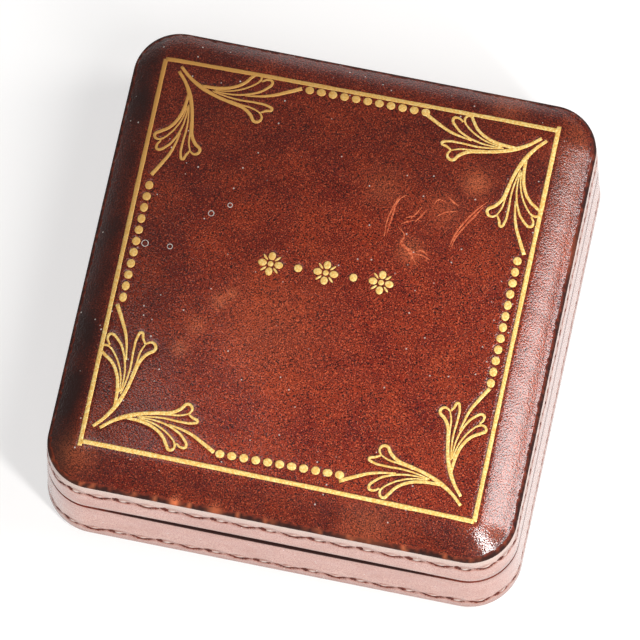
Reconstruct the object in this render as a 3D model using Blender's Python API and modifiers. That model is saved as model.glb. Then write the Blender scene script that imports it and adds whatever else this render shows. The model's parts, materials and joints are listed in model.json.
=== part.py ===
"""Leather jewellery case with a domed lid, modelled piece by piece in metres, +Z up.

The case stands on Z = 0, its front faces -Y, and its lid swings on two brass hinges at +Y.
"""

import math

import bmesh
import bpy
from mathutils import Matrix, Vector

# Outside of the closed case
CASE_WIDTH = 0.1044
CASE_DEPTH = 0.1074
PARTING_HEIGHT = 0.0179
PARTING_GAP = 0.0004
RIDGE_HEIGHT = 0.0304
CORNER_RADIUS = 0.0115
WALL_LEAN = 0.0012  # how far the ridge lies inside the bottom edge
BOTTOM_ROUND = 0.0018
RIM_ROUND = 0.0005

# Dome of the lid: a bevelled edge, and a gentle crown over the whole top
EDGE_RISE = 0.0035
EDGE_REACH = 0.0095
CROWN_RISE = 0.0026

# Leather, lining and glue
SIDE_LEATHER = 0.0009
TOP_LEATHER = 0.0011
GLUE_LINE = 0.0002
COVER_STAND = 0.0002  # how far the bottom cover stands below the turned-in leather
BOTTOM_TURN_IN = 0.0075
RIM_REVEAL = 0.0003
VELVET = 0.0008
COLLAR_LIP = 0.0005
SATIN = 0.0005

# Wooden carcass and collar
BASE_BOARD = 0.0028
LID_WALL = 0.0048
LID_BOARD_EDGE = 0.0016
COLLAR_WALL = 0.0014
COLLAR_STAND = 0.0030
COLLAR_CLEARANCE = 0.0005
INNER_RADIUS = 0.0040

# Inside of the base
FLOOR_CARD = 0.0012
DIVIDER_THICKNESS = 0.0020
DIVIDER_HEIGHT = 0.0095
DIVIDER_EASE = 0.0007
ROLL_COUNT = 4
ROLL_RADIUS = 0.0052
ROLL_FULLNESS = 6  # even power: the higher it is, the less the rolls taper towards their ends
ROLL_GAP = 0.0004
SOFT_GAP = 0.0003

# Cushions: height of the side, swell of the middle, and draw of the sides between corners
WELL_PAD_SIDE = 0.0022
WELL_PAD_CROWN = 0.0020
LID_PAD_SIDE = 0.0020
LID_PAD_CROWN = 0.0026
CUSHION_DRAW = 0.0009

# Hinges
HINGE_SPACING = 0.0520
HINGE_LENGTH = 0.0220
AXIS_INSET = 0.0015  # hinge axis inside the back of the case
BARREL_RADIUS = 0.0013
BARREL_CLEARANCE = 0.00035
PIN_RADIUS = 0.0006
PIN_CLEARANCE = 0.00015
PIN_STAND = 0.0003
KNUCKLE_GAP = 0.0003
STOP_ANGLE = math.radians(95)  # how far the lid opens before the bevels at the back meet
STOP_EASE = math.radians(1)

# Countersunk hinge screws
SCREW_SPREAD = 0.0065
SCREW_LENGTH = 0.0050
SCREW_RADIUS = 0.0005
SCREW_HEAD_RADIUS = 0.0010
SCREW_HEAD = 0.0006
SCREW_LAND = 0.0001
SCREW_TIP = 0.0010
SCREW_CLEARANCE = 0.00015

# Facets
CORNER_STEPS = 6
DOME_SIDE_STEPS = 5
FILLET_STEPS = 3
EDGE_RINGS = 5
CROWN_RINGS = 4
CUSHION_CUTS = 3
ROLL_RINGS = 10
ROLL_STEPS = 14
BARREL_STEPS = 20
SCREW_STEPS = 12


def lean(height):
    """How far the outside wall has come in at this height."""
    return WALL_LEAN * height / RIDGE_HEIGHT


# Heights of the base, from the table upwards
LEATHER_FOOT = COVER_STAND
BOARD_FOOT = LEATHER_FOOT + SIDE_LEATHER + GLUE_LINE
BOARD_TOP = BOARD_FOOT + BASE_BOARD
INSIDE_FOOT = BOARD_TOP + GLUE_LINE
FLOOR_TOP = INSIDE_FOOT + FLOOR_CARD
SOFT_FOOT = FLOOR_TOP + SOFT_GAP
BASE_RIM = PARTING_HEIGHT - PARTING_GAP / 2
BASE_FRAME_TOP = BASE_RIM - SIDE_LEATHER - GLUE_LINE
COLLAR_TOP = PARTING_HEIGHT + COLLAR_STAND

# Heights of the lid
LID_RIM = PARTING_HEIGHT + PARTING_GAP / 2
LID_FRAME_FOOT = LID_RIM + SIDE_LEATHER + GLUE_LINE
SIDE_LEATHER_TOP = RIDGE_HEIGHT - TOP_LEATHER - GLUE_LINE
LID_BOARD_FOOT = SIDE_LEATHER_TOP - LID_BOARD_EDGE
LID_FRAME_TOP = LID_BOARD_FOOT - GLUE_LINE

# Insets from the bottom edge, from the outside inwards
PARTING_INSET = lean(PARTING_HEIGHT)
RIDGE_INSET = lean(RIDGE_HEIGHT)
FRAME_BACKING = SIDE_LEATHER + GLUE_LINE
LID_INSIDE = PARTING_INSET + FRAME_BACKING + LID_WALL
LID_LINING_FACE = LID_INSIDE + GLUE_LINE + SATIN
LIP_FACE = LID_LINING_FACE + COLLAR_CLEARANCE
LIP_BACK = LIP_FACE + COLLAR_LIP
COLLAR_FACE = LIP_BACK + GLUE_LINE
COLLAR_BACK = COLLAR_FACE + COLLAR_WALL
BASE_INSIDE = COLLAR_FACE - GLUE_LINE
VELVET_BACK = COLLAR_BACK + GLUE_LINE
VELVET_FACE = VELVET_BACK + VELVET
RIM_TURN_IN = LIP_FACE - RIM_REVEAL

# Clear space inside the base and inside the lid
INSIDE_HALF_X = CASE_WIDTH / 2 - VELVET_FACE - SOFT_GAP
INSIDE_HALF_Y = CASE_DEPTH / 2 - VELVET_FACE - SOFT_GAP
LID_HALF_X = CASE_WIDTH / 2 - LID_LINING_FACE - SOFT_GAP
LID_HALF_Y = CASE_DEPTH / 2 - LID_LINING_FACE - SOFT_GAP

# Hinge axis
AXIS_Y = CASE_DEPTH / 2 - PARTING_INSET - AXIS_INSET
AXIS_Z = PARTING_HEIGHT
BASE_LEAF_FRONT = CASE_DEPTH / 2 - RIM_TURN_IN
LID_LEAF_FRONT = CASE_DEPTH / 2 - LID_INSIDE
NOTCH_RADIUS = BARREL_RADIUS + BARREL_CLEARANCE
KNUCKLE = (HINGE_LENGTH - 2 * KNUCKLE_GAP) / 3

for stale in list(bpy.data.objects):
    bpy.data.objects.remove(stale)


def new_collection(name):
    """Collection linked to the scene."""
    collection = bpy.data.collections.new(name)
    bpy.context.scene.collection.children.link(collection)
    return collection


PARTS = new_collection("jewellery_case")
CUTTERS = new_collection("jewellery_case_cutters")


def new_pivot():
    """Empty on the hinge axis that carries every piece of the lid."""
    pivot = bpy.data.objects.new("lid_pivot", None)
    pivot.location = (0, AXIS_Y, AXIS_Z)
    pivot.empty_display_size = AXIS_INSET
    PARTS.objects.link(pivot)
    return pivot


LID_PIVOT = new_pivot()


def finish(name, colour, roughness, metallic=0.0):
    """Plain material of one colour."""
    material = bpy.data.materials.new(name)
    material.use_nodes = True
    shader = material.node_tree.nodes["Principled BSDF"]
    shader.inputs["Base Color"].default_value = (*colour, 1)
    shader.inputs["Roughness"].default_value = roughness
    shader.inputs["Metallic"].default_value = metallic
    return material


TOP_CALF = finish("oxblood_top_calf", (0.15, 0.022, 0.012), 0.38)
SIDE_CALF = finish("oxblood_side_calf", (0.17, 0.032, 0.02), 0.34)
COVER_PAPER = finish("brown_cover_paper", (0.06, 0.018, 0.012), 0.6)
POPLAR = finish("poplar", (0.52, 0.36, 0.2), 0.65)
CARD = finish("grey_card", (0.4, 0.36, 0.3), 0.8)
VELVET_PILE = finish("wine_velvet", (0.13, 0.012, 0.02), 0.9)
SATIN_SILK = finish("cream_satin", (0.72, 0.6, 0.42), 0.45)
BRASS = finish("hinge_brass", (0.72, 0.5, 0.2), 0.3, 1.0)


def place(piece, material, lid=False):
    """Put a finished piece among the parts, on the lid's pivot if it moves with the lid."""
    piece.data.materials.append(material)
    PARTS.objects.link(piece)
    if lid:
        piece.parent = LID_PIVOT
        piece.matrix_parent_inverse = Matrix.Translation(-LID_PIVOT.location)
    return piece


def as_cutter(piece):
    """Keep a piece only as the other operand of Booleans."""
    CUTTERS.objects.link(piece)
    piece.hide_render = True
    piece.display_type = "WIRE"
    return piece


def combine(piece, other, operation):
    """Join another shape to a piece, or cut it out of the piece."""
    change = piece.modifiers.new(f"{operation.lower()}_{other.name}", "BOOLEAN")
    change.operation = operation
    change.object = other
    change.solver = "EXACT"


def mesh_object(name, shape, smooth_angle=math.radians(35)):
    """Object from a bmesh, its faces turned outwards and its round stretches shaded smooth."""
    shape.normal_update()
    bmesh.ops.recalc_face_normals(shape, faces=shape.faces[:])
    mesh = bpy.data.meshes.new(name)
    shape.to_mesh(mesh)
    shape.free()
    mesh.shade_smooth()
    mesh.set_sharp_from_angle(angle=smooth_angle)
    return bpy.data.objects.new(name, mesh)


def outline(inset, side_steps=1):
    """Rounded rectangle this far inside the bottom edge, counter-clockwise from +X."""
    radius = max(CORNER_RADIUS - inset, INNER_RADIUS)
    reach_x = CASE_WIDTH / 2 - inset - radius
    reach_y = CASE_DEPTH / 2 - inset - radius
    points = []
    for quarter, (side_x, side_y) in enumerate(((1, 1), (-1, 1), (-1, -1), (1, -1))):
        for step in range(CORNER_STEPS + 1):
            angle = math.pi / 2 * (quarter + step / CORNER_STEPS)
            x = side_x * reach_x + radius * math.cos(angle)
            y = side_y * reach_y + radius * math.sin(angle)
            points.append((x, y))
        along_x = quarter % 2 == 0
        for step in range(1, side_steps):
            share = 1 - 2 * step / side_steps
            points.append((reach_x * side_x * share, y) if along_x else (x, reach_y * side_y * share))
    return points


def rounded(corners):
    """Closed outline through (x, y, rounding) corners, with an arc at each that has a rounding."""
    points = []
    for index, (x, y, rounding) in enumerate(corners):
        corner = Vector((x, y))
        if not rounding:
            points.append(corner)
            continue
        before = (Vector(corners[index - 1][:2]) - corner).normalized()
        after = (Vector(corners[(index + 1) % len(corners)][:2]) - corner).normalized()
        half_angle = before.angle(after) / 2
        centre = corner + (before + after).normalized() * rounding / math.sin(half_angle)
        first = corner + before * rounding / math.tan(half_angle) - centre
        last = corner + after * rounding / math.tan(half_angle) - centre
        for step in range(FILLET_STEPS + 1):
            spoke = first.lerp(last, step / FILLET_STEPS).normalized()
            points.append(centre + spoke * rounding)
    return points


def skin(shape, rings, closed=False):
    """Faces between each ring of vertices and the next."""
    pairs = list(zip(rings, rings[1:]))
    if closed:
        pairs.append((rings[-1], rings[0]))
    for ring, following in pairs:
        for index in range(len(ring)):
            shape.faces.new((ring[index - 1], ring[index], following[index], following[index - 1]))


def band(name, corners):
    """Wall that follows the plan of the case, with a profile of (inset, height, rounding) corners."""
    shape = bmesh.new()
    rings = []
    for inset, height in rounded(corners):
        rings.append([shape.verts.new((x, y, height)) for x, y in outline(inset)])
    skin(shape, rings, closed=True)
    return mesh_object(name, shape)


def sheet(name, inset, foot, top):
    """Flat board, card or sheet with the plan of the case."""
    curve = bpy.data.curves.new(name, "CURVE")
    curve.dimensions = "2D"
    curve.fill_mode = "BOTH"
    curve.extrude = (top - foot) / 2
    points = outline(inset)
    spline = curve.splines.new("POLY")
    spline.points.add(len(points) - 1)
    for point, (x, y) in zip(spline.points, points):
        point.co = (x, y, 0, 1)
    spline.use_cyclic_u = True
    piece = bpy.data.objects.new(name, curve)
    piece.location.z = (foot + top) / 2
    return piece


def block(name, low, high):
    """Box between two corners, with its origin at its middle."""
    shape = bmesh.new()
    bmesh.ops.create_cube(shape, size=1)
    size = Vector(high) - Vector(low)
    bmesh.ops.scale(shape, vec=size, verts=shape.verts[:])
    piece = mesh_object(name, shape)
    piece.location = (Vector(low) + Vector(high)) / 2
    return piece


def rod(name, radius, length, centre):
    """Round bar along X."""
    shape = bmesh.new()
    along_x = Matrix.Rotation(math.pi / 2, 4, "Y")
    bmesh.ops.create_cone(
        shape,
        cap_ends=True,
        segments=BARREL_STEPS,
        radius1=radius,
        radius2=radius,
        depth=length,
        matrix=along_x,
    )
    piece = mesh_object(name, shape)
    piece.location = centre
    return piece


def turned(name, profile, steps):
    """Turned piece about Z from (radius, height) points that run from its top to its bottom."""
    mesh = bpy.data.meshes.new(name)
    points = [(radius, 0, height) for radius, height in profile]
    edges = [(index, index + 1) for index in range(len(points) - 1)]
    mesh.from_pydata(points, edges, [])
    piece = bpy.data.objects.new(name, mesh)
    spin = piece.modifiers.new("turn", "SCREW")
    spin.steps = steps
    spin.render_steps = steps
    spin.use_merge_vertices = True
    spin.merge_threshold = 0.000001
    spin.use_smooth_shade = True
    return piece


def dome_height(inset, x, y):
    """Height of the lid's leather at a point that lies this far inside the ridge."""
    climb = min(inset / EDGE_REACH, 1)
    edge = EDGE_RISE * (1 - (1 - climb) ** 2)
    across = x / (CASE_WIDTH / 2 - RIDGE_INSET)
    along = y / (CASE_DEPTH / 2 - RIDGE_INSET)
    crown = CROWN_RISE * (1 - across**2) * (1 - along**2)
    return RIDGE_HEIGHT + edge + crown


def dome(name, first_inset, drop, foot):
    """Solid under the lid's dome, from drop below it down to foot(height)."""
    shape = bmesh.new()
    rows = []
    for step in range(EDGE_RINGS + 1):
        inset = first_inset + (EDGE_REACH - first_inset) * step / EDGE_RINGS
        plan = outline(RIDGE_INSET + inset, DOME_SIDE_STEPS)
        rows.append([(x, y, dome_height(inset, x, y)) for x, y in plan])
    for step in range(1, CROWN_RINGS):
        share = 1 - step / CROWN_RINGS
        inner = [(x * share, y * share) for x, y, _ in rows[EDGE_RINGS]]
        rows.append([(x, y, dome_height(EDGE_REACH, x, y)) for x, y in inner])
    rings = [[shape.verts.new((x, y, z - drop)) for x, y, z in row] for row in rows]
    skin(shape, rings)
    apex = shape.verts.new((0, 0, dome_height(EDGE_REACH, 0, 0) - drop))
    last = rings[-1]
    for index in range(len(last)):
        shape.faces.new((last[index - 1], last[index], apex))
    bmesh.ops.recalc_face_normals(shape, faces=shape.faces[:])
    copied = bmesh.ops.extrude_face_region(shape, geom=shape.faces[:])["geom"]
    for item in copied:
        if isinstance(item, bmesh.types.BMVert):
            item.co.z = foot(item.co.z)
    return mesh_object(name, shape)


def cushion(name, low, high, seat, side, crown):
    """Pad on a flat seat, its middle swollen and its sides drawn in; negative sizes hang down."""
    half = (Vector(high) - Vector(low)) / 2
    middle = (Vector(high) + Vector(low)) / 2
    shape = bmesh.new()
    bmesh.ops.create_cube(shape, size=2)
    bmesh.ops.subdivide_edges(shape, edges=shape.edges[:], cuts=CUSHION_CUTS, use_grid_fill=True)
    for vertex in shape.verts:
        across, along, up = vertex.co
        swell = (1 - across**2) * (1 - along**2)
        vertex.co.x = across * (half.x - CUSHION_DRAW * (1 - along**2))
        vertex.co.y = along * (half.y - CUSHION_DRAW * (1 - across**2))
        vertex.co.z = (up + 1) / 2 * (side + crown * math.sqrt(swell))
    piece = mesh_object(name, shape)
    piece.location = (middle.x, middle.y, seat)
    soften = piece.modifiers.new("soften", "SUBSURF")
    soften.levels = 1
    soften.render_levels = 1
    return piece


def make_base_shell():
    """Board, frame, leather and bottom cover of the base; returns what the hinges are let into."""
    cover_inset = BOTTOM_TURN_IN + GLUE_LINE
    cover = sheet("base_bottom_cover", cover_inset, 0, BOARD_FOOT - GLUE_LINE)
    place(cover, COVER_PAPER)
    board_inset = FRAME_BACKING + lean(BOARD_TOP)
    place(sheet("base_board", board_inset, BOARD_FOOT, BOARD_TOP), POPLAR)
    frame = band(
        "base_frame",
        (
            (FRAME_BACKING + lean(INSIDE_FOOT), INSIDE_FOOT, 0),
            (FRAME_BACKING + lean(BASE_FRAME_TOP), BASE_FRAME_TOP, 0),
            (BASE_INSIDE, BASE_FRAME_TOP, 0),
            (BASE_INSIDE, INSIDE_FOOT, 0),
        ),
    )
    place(frame, POPLAR)
    leather = band(
        "base_side_leather",
        (
            (BOTTOM_TURN_IN, LEATHER_FOOT, 0),
            (lean(LEATHER_FOOT), LEATHER_FOOT, BOTTOM_ROUND),
            (lean(BASE_RIM), BASE_RIM, RIM_ROUND),
            (RIM_TURN_IN, BASE_RIM, 0),
            (RIM_TURN_IN, BASE_RIM - SIDE_LEATHER, 0),
            (lean(BASE_RIM) + SIDE_LEATHER, BASE_RIM - SIDE_LEATHER, 0),
            (lean(LEATHER_FOOT) + SIDE_LEATHER, LEATHER_FOOT + SIDE_LEATHER, 0),
            (BOTTOM_TURN_IN, LEATHER_FOOT + SIDE_LEATHER, 0),
        ),
    )
    place(leather, SIDE_CALF)
    return frame, leather


def make_base_lining():
    """Collar that guides the lid, the velvet folded over it, and the floor of the base."""
    collar = band(
        "base_collar",
        (
            (COLLAR_FACE, INSIDE_FOOT, 0),
            (COLLAR_FACE, COLLAR_TOP, 0),
            (COLLAR_BACK, COLLAR_TOP, 0),
            (COLLAR_BACK, INSIDE_FOOT, 0),
        ),
    )
    place(collar, CARD)
    cap_foot = COLLAR_TOP + GLUE_LINE
    cap_top = cap_foot + VELVET
    lip_foot = BASE_FRAME_TOP + GLUE_LINE
    lining = band(
        "base_wall_lining",
        (
            (VELVET_FACE, INSIDE_FOOT, 0),
            (VELVET_FACE, cap_top, VELVET),
            (LIP_FACE, cap_top, VELVET),
            (LIP_FACE, lip_foot, 0),
            (LIP_BACK, lip_foot, 0),
            (LIP_BACK, cap_foot, 0),
            (VELVET_BACK, cap_foot, 0),
            (VELVET_BACK, INSIDE_FOOT, 0),
        ),
    )
    place(lining, VELVET_PILE)
    place(sheet("floor_velvet", VELVET_FACE + GLUE_LINE, INSIDE_FOOT, FLOOR_TOP), VELVET_PILE)


def make_ring_rolls():
    """Rolls across the back of the base; returns how far forward they reach."""
    half = INSIDE_HALF_X
    pitch = 2 * ROLL_RADIUS + ROLL_GAP
    profile = []
    for ring in range(ROLL_RINGS + 1):
        share = math.cos(math.pi * ring / ROLL_RINGS)
        profile.append((ROLL_RADIUS * math.sqrt(1 - share**ROLL_FULLNESS), half * share))
    for number in range(ROLL_COUNT):
        roll = turned(f"ring_roll_{number + 1}", profile, ROLL_STEPS)
        roll.rotation_euler.y = math.pi / 2
        y = INSIDE_HALF_Y - ROLL_RADIUS - number * pitch
        roll.location = (0, y, SOFT_FOOT + ROLL_RADIUS)
        place(roll, VELVET_PILE)
    return INSIDE_HALF_Y - ROLL_COUNT * pitch


def make_well(back):
    """Divider in front of the ring rolls, and the padded bed of the well before it."""
    front = back - DIVIDER_THICKNESS
    low = (-INSIDE_HALF_X, front, SOFT_FOOT)
    high = (INSIDE_HALF_X, back, SOFT_FOOT + DIVIDER_HEIGHT)
    divider = block("divider", low, high)
    ease = divider.modifiers.new("ease", "BEVEL")
    ease.width = DIVIDER_EASE
    ease.segments = 2
    place(divider, VELVET_PILE)
    low = (-INSIDE_HALF_X, -INSIDE_HALF_Y)
    high = (INSIDE_HALF_X, front - SOFT_GAP)
    pad = cushion("well_pad", low, high, SOFT_FOOT, WELL_PAD_SIDE, WELL_PAD_CROWN)
    place(pad, VELVET_PILE)


def make_lid_shell():
    """Frame, domed board and leather of the lid; returns what the hinges are let into."""
    frame = band(
        "lid_frame",
        (
            (FRAME_BACKING + lean(LID_FRAME_FOOT), LID_FRAME_FOOT, 0),
            (FRAME_BACKING + lean(LID_FRAME_TOP), LID_FRAME_TOP, 0),
            (LID_INSIDE, LID_FRAME_TOP, 0),
            (LID_INSIDE, LID_FRAME_FOOT, 0),
        ),
    )
    place(frame, POPLAR, lid=True)
    leather = band(
        "lid_side_leather",
        (
            (LID_INSIDE, LID_RIM, 0),
            (lean(LID_RIM), LID_RIM, RIM_ROUND),
            (lean(SIDE_LEATHER_TOP), SIDE_LEATHER_TOP, 0),
            (lean(SIDE_LEATHER_TOP) + SIDE_LEATHER, SIDE_LEATHER_TOP, 0),
            (lean(LID_RIM) + SIDE_LEATHER, LID_RIM + SIDE_LEATHER, 0),
            (LID_INSIDE, LID_RIM + SIDE_LEATHER, 0),
        ),
    )
    place(leather, SIDE_CALF, lid=True)
    top = dome("lid_top_leather", 0, 0, lambda height: height - TOP_LEATHER)
    place(top, TOP_CALF, lid=True)
    board = dome("lid_board", FRAME_BACKING, TOP_LEATHER + GLUE_LINE, lambda height: LID_BOARD_FOOT)
    place(board, POPLAR, lid=True)
    return frame, leather


def make_lid_lining():
    """Satin on the walls of the lid, and the satin cushion under its board."""
    lining_foot = LID_RIM + GLUE_LINE
    lining_top = LID_BOARD_FOOT - GLUE_LINE
    lining = band(
        "lid_wall_lining",
        (
            (LID_INSIDE + GLUE_LINE, lining_foot, 0),
            (LID_INSIDE + GLUE_LINE, lining_top, 0),
            (LID_LINING_FACE, lining_top, 0),
            (LID_LINING_FACE, lining_foot, 0),
        ),
    )
    place(lining, SATIN_SILK, lid=True)
    seat = LID_BOARD_FOOT - SOFT_GAP
    low = (-LID_HALF_X, -LID_HALF_Y)
    high = (LID_HALF_X, LID_HALF_Y)
    pad = cushion("lid_pad", low, high, seat, -LID_PAD_SIDE, -LID_PAD_CROWN)
    place(pad, SATIN_SILK, lid=True)


def screw_profile(clearance):
    """Countersunk screw from the top of its head, or the hole that clears it all round."""
    head = SCREW_HEAD_RADIUS + clearance
    shank = SCREW_RADIUS + clearance
    tip = -SCREW_LENGTH - clearance
    return (
        (0, clearance),
        (head, clearance),
        (head, -SCREW_LAND),
        (shank, -SCREW_HEAD),
        (shank, tip + SCREW_TIP),
        (0, tip),
    )


def make_screws(hinge, side, centre_x, y, rim, leaf, frame):
    """Two screws through a leaf into its frame, heads flush with the rim."""
    lid = side == "lid"
    for number, place_x in enumerate((-SCREW_SPREAD, SCREW_SPREAD), 1):
        name = f"{hinge}_{side}_screw_{number}"
        hole = as_cutter(turned(f"{name}_hole", screw_profile(SCREW_CLEARANCE), SCREW_STEPS))
        screw = turned(name, screw_profile(0), SCREW_STEPS)
        for piece in (hole, screw):
            piece.location = (centre_x + place_x, y, rim)
            piece.rotation_euler.x = math.pi if lid else 0
        combine(leaf, hole, "DIFFERENCE")
        combine(frame, hole, "DIFFERENCE")
        place(screw, BRASS, lid=lid)


def make_leaf(name, centre_x, foot, top, front, own_knuckles, other_knuckles):
    """Hinge leaf with its knuckles on the axis, cut away where the other leaf's knuckles turn."""
    back = AXIS_Y - (BARREL_RADIUS + PIN_RADIUS) / 2
    half = HINGE_LENGTH / 2
    leaf = block(name, (centre_x - half, front, foot), (centre_x + half, back, top))
    for number, x in enumerate(other_knuckles):
        length = KNUCKLE + 2 * KNUCKLE_GAP
        room = rod(f"{name}_room_{number}", NOTCH_RADIUS, length, (centre_x + x, AXIS_Y, AXIS_Z))
        combine(leaf, as_cutter(room), "DIFFERENCE")
    for number, x in enumerate(own_knuckles):
        centre = (centre_x + x, AXIS_Y, AXIS_Z)
        knuckle = rod(f"{name}_knuckle_{number}", BARREL_RADIUS, KNUCKLE, centre)
        combine(leaf, as_cutter(knuckle), "UNION")
    bore_length = HINGE_LENGTH + 4 * PIN_STAND
    bore_radius = PIN_RADIUS + PIN_CLEARANCE
    bore = rod(f"{name}_bore", bore_radius, bore_length, (centre_x, AXIS_Y, AXIS_Z))
    combine(leaf, as_cutter(bore), "DIFFERENCE")
    return leaf


def make_hinge(name, centre_x, base_frame, lid_frame):
    """One butt hinge: two leaves, their pin and their screws."""
    outer = KNUCKLE + KNUCKLE_GAP
    ends = (-outer, outer)
    base_foot = BASE_FRAME_TOP + GLUE_LINE
    base_leaf = make_leaf(
        f"{name}_base_leaf", centre_x, base_foot, BASE_RIM, BASE_LEAF_FRONT, ends, (0,)
    )
    lid_top = LID_FRAME_FOOT - GLUE_LINE
    lid_leaf = make_leaf(
        f"{name}_lid_leaf", centre_x, LID_RIM, lid_top, LID_LEAF_FRONT, (0,), ends
    )
    pin_length = HINGE_LENGTH + 2 * PIN_STAND
    pin = rod(f"{name}_pin", PIN_RADIUS, pin_length, (centre_x, AXIS_Y, AXIS_Z))
    knuckle_front = AXIS_Y - NOTCH_RADIUS
    base_y = (knuckle_front + BASE_LEAF_FRONT) / 2
    lid_y = (knuckle_front + LID_LEAF_FRONT) / 2
    make_screws(name, "base", centre_x, base_y, BASE_RIM, base_leaf, base_frame)
    make_screws(name, "lid", centre_x, lid_y, LID_RIM, lid_leaf, lid_frame)
    place(base_leaf, BRASS)
    place(pin, BRASS)
    place(lid_leaf, BRASS, lid=True)


def hinge_room(name, centre_x):
    """Cutters for one hinge: round the barrel, and the windows of the leaves in the turned-in leather."""
    room_length = HINGE_LENGTH + 2 * (PIN_STAND + KNUCKLE_GAP)
    barrel = rod(f"{name}_barrel_room", NOTCH_RADIUS, room_length, (centre_x, AXIS_Y, AXIS_Z))
    half = HINGE_LENGTH / 2 + GLUE_LINE
    base_low = (centre_x - half, BASE_LEAF_FRONT - RIM_REVEAL, BASE_FRAME_TOP)
    base_high = (centre_x + half, AXIS_Y, PARTING_HEIGHT)
    base_window = block(f"{name}_base_window", base_low, base_high)
    lid_low = (centre_x - half, LID_LEAF_FRONT - RIM_REVEAL, PARTING_HEIGHT)
    lid_high = (centre_x + half, AXIS_Y, LID_FRAME_FOOT)
    lid_window = block(f"{name}_lid_window", lid_low, lid_high)
    return as_cutter(barrel), as_cutter(base_window), as_cutter(lid_window)


def stop_bevel():
    """Wedge with its edge on the hinge axis that bevels both rims at the back, so the lid can open."""
    reach = 2 * AXIS_INSET
    spread = reach * math.tan(STOP_ANGLE / 2 + STOP_EASE)
    curve = bpy.data.curves.new("stop_bevel", "CURVE")
    curve.dimensions = "2D"
    curve.fill_mode = "BOTH"
    curve.extrude = CASE_WIDTH / 2
    spline = curve.splines.new("POLY")
    corners = ((0, 0), (reach, -spread), (reach, spread))
    spline.points.add(len(corners) - 1)
    for point, (x, y) in zip(spline.points, corners):
        point.co = (x, y, 0, 1)
    spline.use_cyclic_u = True
    drawn = bpy.data.objects.new("stop_bevel_outline", curve)
    PARTS.objects.link(drawn)
    graph = bpy.context.evaluated_depsgraph_get()
    shape = bmesh.new()
    flat = bpy.data.meshes.new_from_object(drawn.evaluated_get(graph))
    shape.from_mesh(flat)
    bpy.data.objects.remove(drawn)
    bmesh.ops.remove_doubles(shape, verts=shape.verts[:], dist=0.000001)
    wedge = mesh_object("stop_bevel", shape)
    upright = Matrix(((0, 0, 1, 0), (1, 0, 0, AXIS_Y), (0, 1, 0, AXIS_Z), (0, 0, 0, 1)))
    wedge.matrix_world = upright
    return as_cutter(wedge)


base_frame, base_leather = make_base_shell()
make_base_lining()
make_well(make_ring_rolls())
lid_frame, lid_leather = make_lid_shell()
make_lid_lining()
bevel = stop_bevel()
combine(base_leather, bevel, "DIFFERENCE")
combine(lid_leather, bevel, "DIFFERENCE")
for hinge, hinge_x in (("hinge_left", -HINGE_SPACING / 2), ("hinge_right", HINGE_SPACING / 2)):
    barrel_room, base_room, lid_room = hinge_room(hinge, hinge_x)
    for wall in (base_frame, base_leather, lid_frame, lid_leather):
        combine(wall, barrel_room, "DIFFERENCE")
    combine(base_leather, base_room, "DIFFERENCE")
    combine(lid_leather, lid_room, "DIFFERENCE")
    make_hinge(hinge, hinge_x, base_frame, lid_frame)
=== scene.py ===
"""Looks of a domed leather jewellery case: gilt and blind tooled calf over a wooden carcass.

The file is laid out as an add-on. Run as a script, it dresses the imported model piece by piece, with the
calf, gilding, velvet, satin and brass of the real case, and sets it up in a plain studio.
"""

import json
import math
import random

import bmesh
import bpy
import numpy as np
from bpy.props import FloatProperty, FloatVectorProperty, IntProperty, PointerProperty
from bpy.types import Operator, Panel, PropertyGroup
from mathutils import Matrix, Vector
from mathutils.bvhtree import BVHTree

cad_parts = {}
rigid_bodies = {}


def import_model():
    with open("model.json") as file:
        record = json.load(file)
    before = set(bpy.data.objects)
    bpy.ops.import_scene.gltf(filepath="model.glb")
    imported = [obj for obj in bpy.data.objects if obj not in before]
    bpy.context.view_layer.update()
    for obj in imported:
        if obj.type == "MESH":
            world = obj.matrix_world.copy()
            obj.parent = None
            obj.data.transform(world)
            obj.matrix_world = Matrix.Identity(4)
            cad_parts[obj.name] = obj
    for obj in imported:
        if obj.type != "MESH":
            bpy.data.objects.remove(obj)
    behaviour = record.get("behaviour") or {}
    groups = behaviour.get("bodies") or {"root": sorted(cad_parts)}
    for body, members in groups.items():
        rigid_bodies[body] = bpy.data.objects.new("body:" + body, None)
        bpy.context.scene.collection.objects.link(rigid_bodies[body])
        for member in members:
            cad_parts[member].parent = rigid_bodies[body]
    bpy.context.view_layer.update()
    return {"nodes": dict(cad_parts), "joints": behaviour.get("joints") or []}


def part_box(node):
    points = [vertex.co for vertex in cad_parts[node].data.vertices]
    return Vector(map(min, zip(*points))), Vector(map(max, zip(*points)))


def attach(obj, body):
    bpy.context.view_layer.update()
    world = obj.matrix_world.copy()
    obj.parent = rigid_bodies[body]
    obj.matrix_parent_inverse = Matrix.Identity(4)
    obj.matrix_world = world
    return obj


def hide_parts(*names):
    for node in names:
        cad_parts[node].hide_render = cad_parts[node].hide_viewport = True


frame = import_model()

bl_info = {
    "name": "Jewellery case looks",
    "version": (1, 0, 0),
    "blender": (4, 5, 0),
    "location": "3D View > Sidebar > Jewellery case",
    "description": "Dresses a jewellery case in tooled calf, gilding, velvet, satin and brass",
    "category": "Object",
}

MM = 0.001

# Points that lie closer than this are one, and points within a hair of an edge lie on it
JOIN = 0.001 * MM
HAIR = 0.01 * MM

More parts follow.
